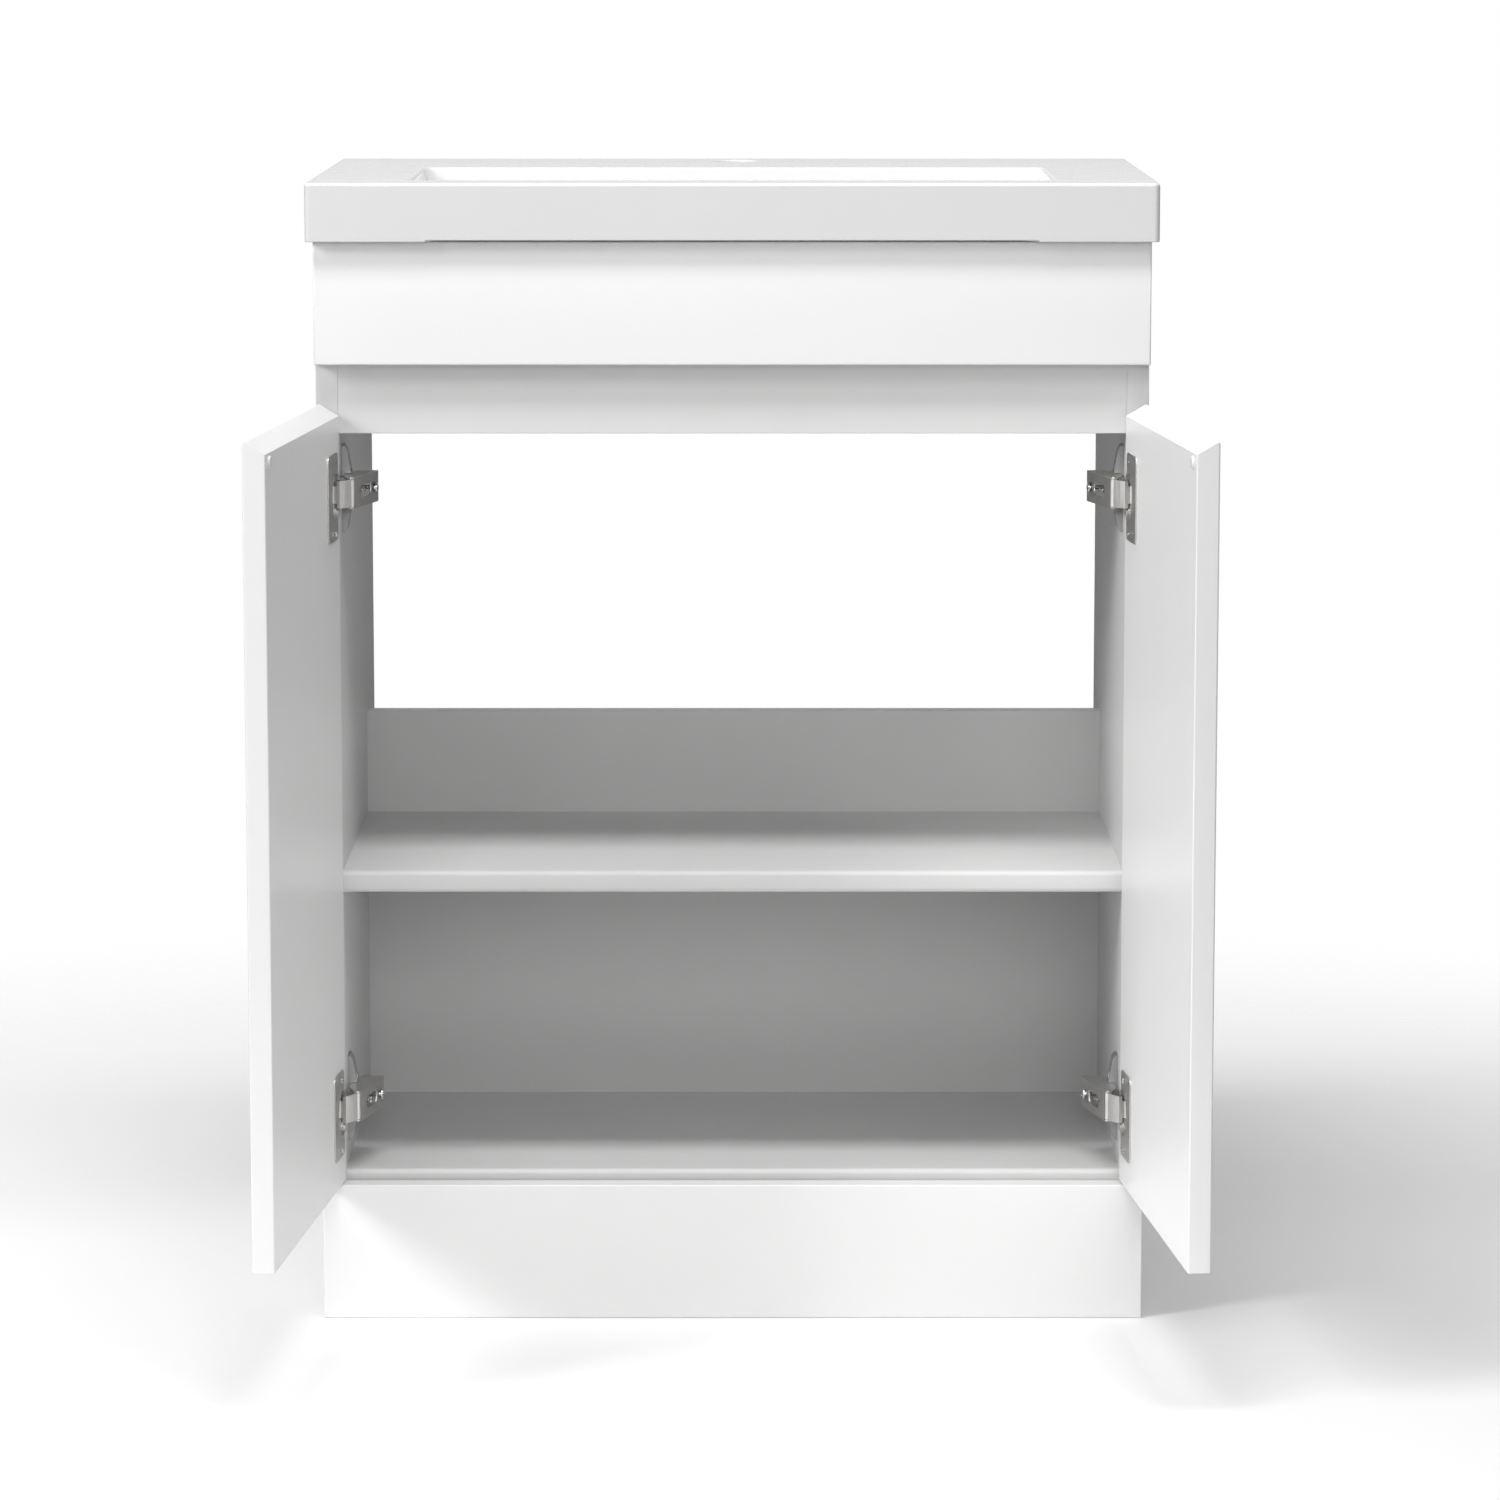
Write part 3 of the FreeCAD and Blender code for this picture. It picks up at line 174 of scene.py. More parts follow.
class Finish:
    """A material being mixed: its nodes, its links and its one shader."""

    def __init__(self, name):
        self.material = bpy.data.materials.new(name)
        self.material.use_nodes = True
        self.tree = self.material.node_tree
        self.nodes, self.links = self.tree.nodes, self.tree.links
        self.shader = next(n for n in self.nodes if n.type == "BSDF_PRINCIPLED")
        self.where = self.nodes.new("ShaderNodeTexCoord").outputs["Object"]
        self.normal = None

    def fixed(self, **values):
        """Numbers and colours that are the same all over the surface."""
        for socket, value in values.items():
            self.shader.inputs[socket.replace("_", " ")].default_value = value

    def grain(self, scale, stretch=(1, 1, 1), detail=2.0, roughness=0.5):
        """Noise over the piece, with so many grains per metre, drawn out along some axes."""
        mapping = self.nodes.new("ShaderNodeMapping")
        mapping.inputs["Scale"].default_value = stretch
        self.links.new(self.where, mapping.inputs["Vector"])
        noise = self.nodes.new("ShaderNodeTexNoise")
        noise.inputs["Scale"].default_value = scale
        noise.inputs["Detail"].default_value = detail
        noise.inputs["Roughness"].default_value = roughness
        self.links.new(mapping.outputs["Vector"], noise.inputs["Vector"])
        return noise.outputs["Fac"]

    def spots(self, scale):
        """Distance to the nearest of many scattered points."""
        cells = self.nodes.new("ShaderNodeTexVoronoi")
        cells.inputs["Scale"].default_value = scale
        self.links.new(self.where, cells.inputs["Vector"])
        return cells.outputs["Distance"]

    def colour_from(self, source, colour, dark, light):
        """A colour that wanders between a darker and a lighter shade of itself."""
        ramp = self.nodes.new("ShaderNodeValToRGB")
        stops = zip(ramp.color_ramp.elements, (NOISE_LOW, NOISE_HIGH), (dark, light))
        for stop, position, factor in stops:
            stop.position = position
            stop.color = (*(min(1.0, channel * factor) for channel in colour), 1)
        self.links.new(source, ramp.inputs["Fac"])
        self.links.new(ramp.outputs["Color"], self.shader.inputs["Base Color"])

    def roughness_from(self, source, low, high):
        """A roughness that wanders between two values."""
        rough = remap(self.tree, source, (NOISE_LOW, NOISE_HIGH), (low, high))
        self.links.new(rough, self.shader.inputs["Roughness"])

    def bump_from(self, source, height, strength):
        """Relief of a height in metres. Each call adds to the one before."""
        bump = self.nodes.new("ShaderNodeBump")
        bump.inputs["Distance"].default_value = height
        bump.inputs["Strength"].default_value = strength
        self.links.new(source, bump.inputs["Height"])
        if self.normal:
            self.links.new(self.normal, bump.inputs["Normal"])
        self.normal = bump.outputs["Normal"]
        self.links.new(self.normal, self.shader.inputs["Normal"])


def mix_laminate(settings):
    """Melamine faced board, with a fine pearl."""
    finish = Finish("laminate")
    finish.colour_from(finish.grain(9, detail=3), settings.laminate, dark=0.985, light=1.01)
    fine, sheen = finish.grain(1700, detail=1.5), settings.laminate_roughness
    finish.roughness_from(fine, low=sheen - 0.05, high=sheen + 0.08)
    finish.bump_from(fine, height=0.03 * MM, strength=0.5)
    finish.fixed(IOR=1.48)
    return finish.material


def mix_band(settings):
    """Plastic edge band, faintly drawn along its length."""
    finish = Finish("edge_band")
    finish.colour_from(finish.grain(14, detail=3), settings.band, dark=0.985, light=1.01)
    finish.roughness_from(finish.grain(260, stretch=(0.08, 1, 0.08)), low=0.26, high=0.36)
    drawn = finish.grain(700, stretch=(0.05, 1, 0.05))
    finish.bump_from(drawn, height=0.02 * MM, strength=0.4)
    finish.fixed(IOR=1.5)
    return finish.material


def mix_lacquer(settings):
    """Sprayed satin lacquer, almost level."""
    finish = Finish("satin_lacquer")
    finish.colour_from(finish.grain(5, detail=2), settings.lacquer, dark=0.992, light=1.004)
    finish.roughness_from(finish.grain(90, detail=2), low=0.34, high=0.38)
    finish.bump_from(finish.grain(650, detail=1), height=0.01 * MM, strength=0.15)
    finish.fixed(IOR=1.45, Coat_Weight=0.08, Coat_Roughness=0.3)
    return finish.material


def mix_glaze(settings):
    """Fired glaze with a slow waviness under its gloss."""
    finish = Finish("white_glaze")
    finish.colour_from(finish.grain(7, detail=2), settings.glaze, dark=0.99, light=1.005)
    sheen = settings.glaze_roughness
    finish.roughness_from(finish.grain(60, detail=4), low=sheen - 0.03, high=sheen + 0.05)
    finish.bump_from(finish.grain(28, detail=1), height=0.1 * MM, strength=0.08)
    finish.bump_from(finish.grain(500, detail=1), height=0.01 * MM, strength=0.05)
    finish.fixed(IOR=1.52, Coat_Weight=0.2, Coat_Roughness=0.05)
    return finish.material


def mix_raw(settings):
    """The basin's unglazed underside."""
    finish = Finish("basin_raw")
    sand = finish.grain(800, detail=4, roughness=0.7)
    finish.colour_from(sand, settings.glaze, dark=0.86, light=0.95)
    finish.bump_from(sand, height=0.12 * MM, strength=0.6)
    finish.fixed(Roughness=0.75)
    return finish.material


# Each metal: its colour setting, roughness, the stretch of its streaks, and its relief.
METALS = {
    "satin_nickel": ("nickel", 0.38, (1, 0.08, 1), 0.02 * MM),
    "link_steel": ("link", 0.55, (1, 1, 0.08), 0.02 * MM),
    "bright_zinc": ("zinc", 0.22, (1, 1, 1), 0.01 * MM),
    "cast_zinc": ("cast", 0.48, (1, 1, 1), 0.05 * MM),
}


def mix_metal(name, settings):
    """Bare or plated metal, streaked the way it was drawn, with fine pits."""
    colour, roughness, streaks, height = METALS[name]
    finish = Finish(name)
    drawn = finish.grain(900, stretch=streaks, detail=3)
    finish.colour_from(drawn, getattr(settings, colour), dark=0.92, light=1.05)
    finish.roughness_from(drawn, low=roughness - 0.06, high=roughness + 0.1)
    finish.bump_from(drawn, height=height, strength=0.4)
    finish.bump_from(finish.spots(1200), height=height * 0.6, strength=0.25)
    finish.fixed(Metallic=1.0)
    return finish.material


def mix_beech(settings):
    """Turned beech with its grain along the dowel."""
    finish = Finish("turned_beech")
    rings = finish.grain(420, stretch=(0.06, 1, 1), detail=4, roughness=0.6)
    finish.colour_from(rings, settings.beech, dark=0.8, light=1.2)
    finish.bump_from(rings, height=0.12 * MM, strength=0.6)
    finish.fixed(Roughness=0.62)
    return finish.material


def mix_buffer(settings):
    """Soft cloudy plastic that lets some light in."""
    finish = Finish("buffer_gel")
    cloud = finish.grain(600, detail=2)
    finish.colour_from(cloud, settings.buffer, dark=0.961, light=1.039)
    finish.roughness_from(cloud, low=0.3, high=0.42)
    finish.bump_from(cloud, height=0.03 * MM, strength=0.4)
    finish.fixed(IOR=1.45, Subsurface_Weight=0.25, Subsurface_Scale=2 * MM)
    return finish.material


def mix_floor(settings):
    """A pale matt floor that fades into the surround."""
    finish = Finish("pale_floor")
    cloud = finish.grain(3, detail=3)
    finish.colour_from(cloud, settings.floor, dark=0.989, light=1.011)
    finish.roughness_from(cloud, low=0.7, high=0.8)
    distance = finish.nodes.new("ShaderNodeVectorMath")
    distance.operation = "LENGTH"
    finish.links.new(finish.where, distance.inputs[0])
    shown = remap(finish.tree, distance.outputs["Value"], FLOOR_FADE, (1.0, 0.0), "SMOOTHSTEP")
    finish.links.new(shown, finish.shader.inputs["Alpha"])
    return finish.material


FINISHES = {
    "laminate": mix_laminate,
    "edge_band": mix_band,
    "satin_lacquer": mix_lacquer,
    "white_glaze": mix_glaze,
    "basin_raw": mix_raw,
    "turned_beech": mix_beech,
    "buffer_gel": mix_buffer,
    "pale_floor": mix_floor,
    **{name: partial(mix_metal, name) for name in METALS},
}


def finish_named(name):
    """The finish of that name, mixed when it is first asked for."""
    return bpy.data.materials.get(name) or FINISHES[name](bpy.context.scene.vanity_finishes)


# ---------------------------------------------------------------- making and placing


def place_piece(name, mesh, node, *finishes):
    """Show a finished mesh in place of a fixed node, on the same body, with the given finishes."""
    piece = bpy.data.objects.new(name, mesh)
    bpy.context.scene.collection.objects.link(piece)
    mesh.materials.clear()
    for finish in finishes:
        mesh.materials.append(finish_named(finish))
    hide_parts(node)
    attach(piece, BODY_OF[node])
    return piece


def crisp_copy(node):
    """A node's mesh with its triangles merged and shared out evenly over its flat faces."""
    made = bmesh.new()
    made.from_mesh(frame["nodes"][node].data)
    bmesh.ops.remove_doubles(made, verts=made.verts, dist=MERGE_WITHIN)
    bmesh.ops.dissolve_limit(
        made, angle_limit=FLAT_WITHIN, verts=made.verts[:], edges=made.edges[:]
    )
    many_sided = [face for face in made.faces if len(face.verts) > 4]
    bmesh.ops.triangulate(made, faces=many_sided, ngon_method="BEAUTY")
    return made


def soften(made, limit=SHARP_TURN):
    """Smooth faces with sharp edges wherever the surface turns by more than a limit."""
    for face in made.faces:
        face.smooth = True
    for edge in made.edges:
        edge.smooth = len(edge.link_faces) == 2 and edge.calc_face_angle(0) < limit


def mesh_of(made, name):
    """The finished mesh of a working one, which is let go."""
    mesh = bpy.data.meshes.new(name)
    made.to_mesh(mesh)
    made.free()
    return mesh


def round_edges(piece, width, steps):
    """Round a piece's sharp edges."""
    rounding = piece.modifiers.new("Rounded edges", "BEVEL")
    rounding.width = width
    rounding.segments = steps
    rounding.limit_method = "ANGLE"
    rounding.angle_limit = SHARP_TURN
    rounding.use_clamp_overlap = False
    rounding.harden_normals = True


def cut_across(made, axis, at):
    """Divide every face that crosses a plane, so that a band's joint can be drawn there."""
    normal = Vector((0, 0, 0))
    normal[axis] = 1
    bmesh.ops.bisect_plane(
        made, geom=made.verts[:] + made.edges[:] + made.faces[:], dist=1e-7,
        plane_co=normal * at, plane_no=normal,
    )


def banded_board(node, edges, face_finish="laminate"):
    """A board with glued bands on some of its edges."""
    settings = bpy.context.scene.vanity_edges
    low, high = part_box(node)
    made = crisp_copy(node)
    lines = []
    for axis, sign in edges:
        line = (high if sign > 0 else low)[axis] - sign * settings.band
        cut_across(made, axis, line)
        lines.append((axis, sign, line))
    for face in made.faces:
        middle = face.calc_center_median()
        banded = any((middle[axis] - line) * sign > 0 for axis, sign, line in lines)
        face.material_index = 1 if banded else 0
    soften(made)
    return place_piece(f"{node}_finished", mesh_of(made, node), node, face_finish, "edge_band")


def finished_fitting(node, finish, width=0.0):
    """A part with its own finish, and with its sharp edges rounded if a width is given."""
    made = crisp_copy(node)
    soften(made)
    piece = place_piece(f"{node}_finished", mesh_of(made, node), node, finish)
    if width:
        round_edges(piece, width, bpy.context.scene.vanity_edges.steps)
    return piece


# ---------------------------------------------------------------- geometry node trees


class Tree:
    """A Geometry Nodes tree being built, from its named inputs to its one output."""

    def __init__(self, name, inputs):
        self.group = bpy.data.node_groups.new(name, "GeometryNodeTree")
        face = self.group.interface
        face.new_socket("Seats", in_out="INPUT", socket_type="NodeSocketGeometry")
        for label, kind in inputs.items():
            face.new_socket(label, in_out="INPUT", socket_type=f"NodeSocket{kind}")
        face.new_socket("Made", in_out="OUTPUT", socket_type="NodeSocketGeometry")
        self.given = self.group.nodes.new("NodeGroupInput").outputs
        self.end = self.group.nodes.new("NodeGroupOutput")

    def add(self, kind, inputs=None, output=0, **settings):
        """A node with its settings and inputs, each input a number or another node's output."""
        node = self.group.nodes.new(kind)
        for name, value in settings.items():
            setattr(node, name, value)
        for socket, value in (inputs or {}).items():
            if isinstance(value, list):
                for each in value:
                    self.group.links.new(each, node.inputs[socket])
            elif isinstance(value, bpy.types.NodeSocket):
                self.group.links.new(value, node.inputs[socket])
            else:
                node.inputs[socket].default_value = value
        return node.outputs[output]

    def sum(self, operation, first, second=0.0):
        """One step of arithmetic."""
        return self.add("ShaderNodeMath", {0: first, 1: second}, operation=operation)

    def vector(self, x=0.0, y=0.0, z=0.0):
        """Three numbers put together."""
        return self.add("ShaderNodeCombineXYZ", {"X": x, "Y": y, "Z": z})

    def moved(self, shape, offset, **turn):
        """A shape after a turn, if one is given, and a shift."""
        inputs = {"Geometry": shape, "Translation": offset, **turn}
        return self.add("GeometryNodeTransform", inputs)

    def finish(self, shape):
        """The tree's last nodes: real geometry, then its finish."""
        real = self.add("GeometryNodeRealizeInstances", {"Geometry": shape})
        dressed = self.add(
            "GeometryNodeSetMaterial", {"Geometry": real, "Material": self.given["Finish"]}
        )
        self.group.links.new(dressed, self.end.inputs["Made"])
        return self.group

    def at_seats(self, shape):
        """The shape at every seat, facing out of it, with a spin that differs between seats."""
        facing = self.add(
            "GeometryNodeInputNamedAttribute", {"Name": "facing"}, data_type="FLOAT_VECTOR"
        )
        upright = self.add("FunctionNodeAlignRotationToVector", {"Vector": facing}, axis="Z")
        spin = self.add(
            "FunctionNodeRandomValue", {2: 0.0, 3: math.tau, "Seed": self.given["Seed"]},
            output=1, data_type="FLOAT",
        )
        turn = self.add("FunctionNodeAxisAngleToRotation", {"Axis": (0, 0, 1), "Angle": spin})
        rotation = self.add(
            "FunctionNodeRotateRotation", {"Rotation": upright, "Rotate By": turn},
            rotation_space="LOCAL",
        )
        return self.add(
            "GeometryNodeInstanceOnPoints",
            {"Points": self.given["Seats"], "Instance": shape, "Rotation": rotation},
        )


# The screw's proportions. The first group are shares of the head's radius, the second of its
# height, and the core is a share of the shank's radius.
SLOT_LONG, SLOT_NARROW, PIT_WIDE = 1.15, 0.25, 0.42
DOME_DROP, SLOT_DEEP, SLOT_MIDDLE = 0.55, 1.1, 0.6
CORE_SHARE = 0.78
DOME_POWER, THREAD_PITCH = 3.0, 1.3 * MM
HEAD_SIDES, HEAD_RINGS, STEM_SIDES, THREAD_STEPS, RIDGE_SIDES = 40, 6, 20, 16, 3


def domed_head(tree, radius, height):
    """A disc whose upper face falls towards its rim, with a cross and a pit cut into it."""
    blank = tree.add("GeometryNodeMeshCylinder", {
        "Vertices": HEAD_SIDES, "Side Segments": 1, "Fill Segments": HEAD_RINGS,
        "Radius": radius, "Depth": height,
    })
    place = tree.add("GeometryNodeInputPosition")
    flat = tree.add("ShaderNodeVectorMath", {0: place, 1: (1, 1, 0)}, operation="MULTIPLY")
    reach = tree.add("ShaderNodeVectorMath", {0: flat}, output=1, operation="LENGTH")
    share = tree.sum("POWER", tree.sum("DIVIDE", reach, radius), DOME_POWER)
    drop = tree.sum("MULTIPLY", tree.sum("MULTIPLY", share, height), -DOME_DROP)
    on_top = tree.sum("GREATER_THAN", tree.add("ShaderNodeSeparateXYZ", {0: place}, output=2))
    domed = tree.add(
        "GeometryNodeSetPosition",
        {"Geometry": blank, "Selection": on_top, "Offset": tree.vector(z=drop)},
    )
    long, narrow, pit = (
        tree.sum("MULTIPLY", radius, factor) for factor in (SLOT_LONG, SLOT_NARROW, PIT_WIDE)
    )
    deep = tree.sum("MULTIPLY", height, SLOT_DEEP)
    raised = tree.vector(z=tree.sum("MULTIPLY", height, SLOT_MIDDLE))
    cutters = []
    for size_x, size_y, turn in ((long, narrow, 0), (narrow, long, 0), (pit, pit, math.pi / 4)):
        bar = tree.add("GeometryNodeMeshCube", {"Size": tree.vector(size_x, size_y, deep)})
        cutters.append(tree.moved(bar, raised, Rotation=(0, 0, turn)))
    head = tree.add(
        "GeometryNodeMeshBoolean", {"Mesh 1": domed, "Mesh 2": cutters}, operation="DIFFERENCE"
    )
    return tree.moved(head, tree.vector(z=tree.sum("MULTIPLY", height, 0.5)))


def threaded_shank(tree, shank, length):
    """A core that ends in a point, and the thread that winds round it."""
    core = tree.sum("MULTIPLY", shank, CORE_SHARE)
    straight = tree.sum("SUBTRACT", length, shank)
    lowered = tree.vector(z=tree.sum("MULTIPLY", straight, -1.0))
    stem = tree.add(
        "GeometryNodeMeshCylinder", {"Vertices": STEM_SIDES, "Radius": core, "Depth": straight}
    )
    stem = tree.moved(stem, tree.vector(z=tree.sum("MULTIPLY", straight, -0.5)))
    point = tree.add("GeometryNodeMeshCone", {
        "Vertices": STEM_SIDES, "Radius Top": 0.0, "Radius Bottom": core, "Depth": shank,
    })
    point = tree.moved(point, lowered, Rotation=(math.pi, 0, 0))
    helix = tree.add("GeometryNodeCurveSpiral", {
        "Resolution": THREAD_STEPS, "Rotations": tree.sum("DIVIDE", straight, THREAD_PITCH),
        "Start Radius": core, "End Radius": core, "Height": straight,
    })
    ridge = tree.sum("SUBTRACT", shank, core)
    profile = tree.add(
        "GeometryNodeCurvePrimitiveCircle", {"Resolution": RIDGE_SIDES, "Radius": ridge}
    )
    thread = tree.add(
        "GeometryNodeCurveToMesh", {"Curve": helix, "Profile Curve": profile, "Fill Caps": True}
    )
    return [tree.moved(thread, lowered), point, stem]


def plan_screw_tree(name):
    """A domed screw with a cross recess and a threaded shank, at every seat."""
    tree = Tree(name, {
        "Head radius": "Float", "Head height": "Float", "Shank radius": "Float",
        "Shank length": "Float", "Seed": "Int", "Finish": "Material",
    })
    head = domed_head(tree, tree.given["Head radius"], tree.given["Head height"])
    shank = threaded_shank(tree, tree.given["Shank radius"], tree.given["Shank length"])
    whole = tree.add("GeometryNodeJoinGeometry", {"Geometry": [*shank, head]})
    return tree.finish(tree.at_seats(whole))


NOSE_STEPS = 7


def plan_shelf_tree(name):
    """A board drawn from its section, a depth by a thickness with a round nose."""
    tree = Tree(name, {
        "Length": "Float", "Depth": "Float", "Thickness": "Float", "Nose radius": "Float",
        "Back radius": "Float", "Low corner": "Vector", "Finish": "Material",
    })
    depth, thick, length = tree.given["Depth"], tree.given["Thickness"], tree.given["Length"]
    nose, back = tree.given["Nose radius"], tree.given["Back radius"]
    section = tree.add(
        "GeometryNodeCurvePrimitiveQuadrilateral", {"Width": depth, "Height": thick}
    )
    across = tree.add("ShaderNodeSeparateXYZ", {0: tree.add("GeometryNodeInputPosition")})
    is_back = tree.sum("GREATER_THAN", across)
    more = tree.sum("MULTIPLY", is_back, tree.sum("SUBTRACT", back, nose))
    rounded = tree.add(
        "GeometryNodeFilletCurve",
        {"Curve": section, "Count": NOSE_STEPS, "Radius": tree.sum("ADD", nose, more)},
        mode="POLY",
    )
    end = tree.add("GeometryNodeFillCurve", {"Curve": rounded}, mode="NGONS")
    body = tree.add("GeometryNodeExtrudeMesh", {"Mesh": end, "Offset Scale": length}, mode="FACES")
    other_end = tree.add("GeometryNodeFlipFaces", {"Mesh": end})
    closed = tree.add("GeometryNodeJoinGeometry", {"Geometry": [body, other_end]})
    whole = tree.add("GeometryNodeMergeByDistance", {"Geometry": closed, "Distance": MERGE_WITHIN})
    half = tree.vector(y=tree.sum("MULTIPLY", depth, 0.5), z=tree.sum("MULTIPLY", thick, 0.5))
    corner = tree.given["Low corner"]
    place = tree.add("ShaderNodeVectorMath", {0: half, 1: corner}, operation="ADD")
    return tree.finish(tree.moved(whole, place, Rotation=(math.pi / 2, 0, math.pi / 2)))


PLANS = {"cross_head_screws": plan_screw_tree, "round_nosed_board": plan_shelf_tree}


def grow(name, seats, values):
    """The plain, smoothed mesh that a named tree makes from its seats and its named inputs."""
    group = bpy.data.node_groups.get(name) or PLANS[name](name)
    holder = bpy.data.objects.new("seats", seats)
    bpy.context.scene.collection.objects.link(holder)
    modifier = holder.modifiers.new(name, "NODES")
    modifier.node_group = group
    sockets = {
        item.name: item.identifier for item in group.interface.items_tree if item.in_out == "INPUT"
    }
    for label, value in values.items():
        modifier[sockets[label]] = value
    bpy.context.view_layer.update()
    shown = holder.evaluated_get(bpy.context.evaluated_depsgraph_get())
    mesh = bpy.data.meshes.new_from_object(shown)
    bpy.data.objects.remove(holder)
    if not mesh.polygons:
        raise RuntimeError(f"the {name} tree made no faces for {seats.name}")
    made = bmesh.new()
    made.from_mesh(mesh)
    soften(made, SHARP_TURN_GROWN)
    return mesh_of(made, mesh.name)


def loose_parts(node):
    """Each separate solid of a node, as an array of its points, in a settled order."""
    made = crisp_copy(node)
    made.verts.ensure_lookup_table()
    unseen = set(range(len(made.verts)))
    parts = []
    while unseen:
        waiting = [min(unseen)]
        unseen.discard(waiting[0])
        part = []
        while waiting:
            vertex = made.verts[waiting.pop()]
            part.append(tuple(vertex.co))
            for edge in vertex.link_edges:
                other = edge.other_vert(vertex).index
                if other in unseen:
                    unseen.discard(other)
                    waiting.append(other)
        parts.append(np.array(part))
    made.free()
    return sorted(parts, key=lambda part: tuple(part.mean(0).round(5)))


# A point belongs to the head, or to its rim, from these shares of the widest reach. The shank
# is measured a little below the head.
HEAD_FROM, RIM_FROM, BELOW_HEAD = 0.9, 0.95, 0.3 * MM


def measure_screw(points):
    """Where a screw's head sits, which way it faces, and its head and shank sizes."""
    centre = points.mean(0)
    values, ways = np.linalg.eigh(np.cov((points - centre).T))
    # a round body spreads equally along two of its axes, so the third is the screw's
    way = ways[:, 2] if values[2] - values[1] > values[1] - values[0] else ways[:, 0]
    along = (points - centre) @ way
    across = np.linalg.norm(points - centre - np.outer(along, way), axis=1)
    widest = across.max()
    if along[across > HEAD_FROM * widest].mean() < 0:
        way, along = -way, -along
    seat = along[across > RIM_FROM * widest].min()
    shank = across[along < seat - BELOW_HEAD].max()
    sizes = (widest, along.max() - seat, shank, seat - along.min())
    return Vector(centre + way * seat), Vector(way), [float(size) for size in sizes]


def seat_mesh(name, seats):
    """A mesh of loose points, each with the way it faces."""
    mesh = bpy.data.meshes.new(name)
    mesh.from_pydata([tuple(place) for place, _ in seats], [], [])
    facing = mesh.attributes.new("facing", "FLOAT_VECTOR", "POINT")
    facing.data.foreach_set("vector", [value for _, way in seats for value in way])
    return mesh


# ---------------------------------------------------------------- pieces


class VANITY_OT_carcass(bpy.types.Operator):
    """Side panels, floor, back panel and rails, with their edge bands"""

    bl_idname = "vanity.make_carcass"
    bl_label = "Carcass boards"

    def execute(self, context):
        for side in SIDES:
            banded_board(f"side_panel_{side}", [FRONT, TOP])
            finished_fitting(f"plinth_block_{side}", "laminate")
        banded_board("floor_panel", [FRONT])
        low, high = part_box("shelf")
        length, depth, thickness = high - low
        shelf = grow("round_nosed_board", seat_mesh("shelf", []), {
            "Length": length, "Depth": depth, "Thickness": thickness,
            "Nose radius": context.scene.vanity_edges.nose,
            "Back radius": context.scene.vanity_edges.shelf_back,
            "Low corner": tuple(low), "Finish": finish_named("laminate"),
        })
        place_piece("round_nosed_shelf", shelf, "shelf", "laminate")
        banded_board("lower_back_panel", [TOP])
        banded_board("front_top_rail", [UNDERSIDE])
        banded_board("rear_top_rail", [UNDERSIDE])
        return {"FINISHED"}


class VANITY_OT_fronts(bpy.types.Operator):
    """Fascia and plinth"""

    bl_idname = "vanity.make_fronts"
    bl_label = "Fascia and plinth"

    def execute(self, context):
        for node in ("fascia_panel", "plinth_panel"):
            banded_board(node, [LEFT_END, RIGHT_END], "satin_lacquer")
        return {"FINISHED"}


class VANITY_OT_doors(bpy.types.Operator):
    """The two doors with lacquered fronts and bevelled top grips"""

    bl_idname = "vanity.make_doors"
    bl_label = "Doors"

    def execute(self, context):
        for side in SIDES:
            finished_fitting(f"door_{side}", "satin_lacquer")
            finished_fitting(f"door_buffer_{side}", "buffer_gel", BUFFER_ROUND)
        return {"FINISHED"}


# The bowl, seen in section: its wall leans in from the mouth to the floor.
BOWL_HALF, BOWL_FRONT, BOWL_BACK = 232.5 * MM, 19 * MM, 219 * MM
BOWL_DEPTH, BOWL_LEAN, BOWL_SKIN = 112 * MM, 40 * MM, 9 * MM
MOUTH_CORNER, FLOOR_CORNER, LEAST_CORNER = 10 * MM, 22 * MM, 3 * MM
FLOOR_ROUND, SKIN_ROUND, SKIN_BEVEL, SKIN_SWELL = 12 * MM, 10 * MM, 3 * MM, 6 * MM
WALL_FIRST, WALL_SPREAD = 0.03, 0.85

# The deck with its rim, its hollow underside and the relief under its front edge.
DECK_THICK, DECK_CORNER, RIM_WIDTH, UNDER_ROUND = 14 * MM, 4 * MM, 30 * MM, 0.6 * MM
HOLLOW_FRONT, HOLLOW_CORNER, HOLLOW_ROUND = 12 * MM, 12 * MM, 4 * MM
RELIEF_HALF, RELIEF_DEEP, RELIEF_END = 219 * MM, 1.2 * MM, 0.3 * MM

TAP_RADIUS, TAP_FROM_BACK, TAP_ROUND = 17.5 * MM, 43 * MM, 1.2 * MM
WASTE_RADIUS, WASTE_ROUND, WASTE_FALL = 22.5 * MM, 3 * MM, 1.5 * MM

CORNER_STEPS, SIDE_STEPS, ROUND_STEPS, HOLE_STEPS, FLOOR_STEPS = 10, 44, 6, 4, 8

# Faces below the deck whose normals point down more than this are left unglazed.
FACING_DOWN = -0.5


def sweep(start, end, steps):
    """Evenly spaced values from one to another, both included."""
    return [start + (end - start) * k / steps for k in range(steps + 1)]


def arc_points(x, y, radius, height, turns):
    """Points of a level arc at the given turns."""
    return [Vector((x + radius * math.cos(t), y + radius * math.sin(t), height)) for t in turns]


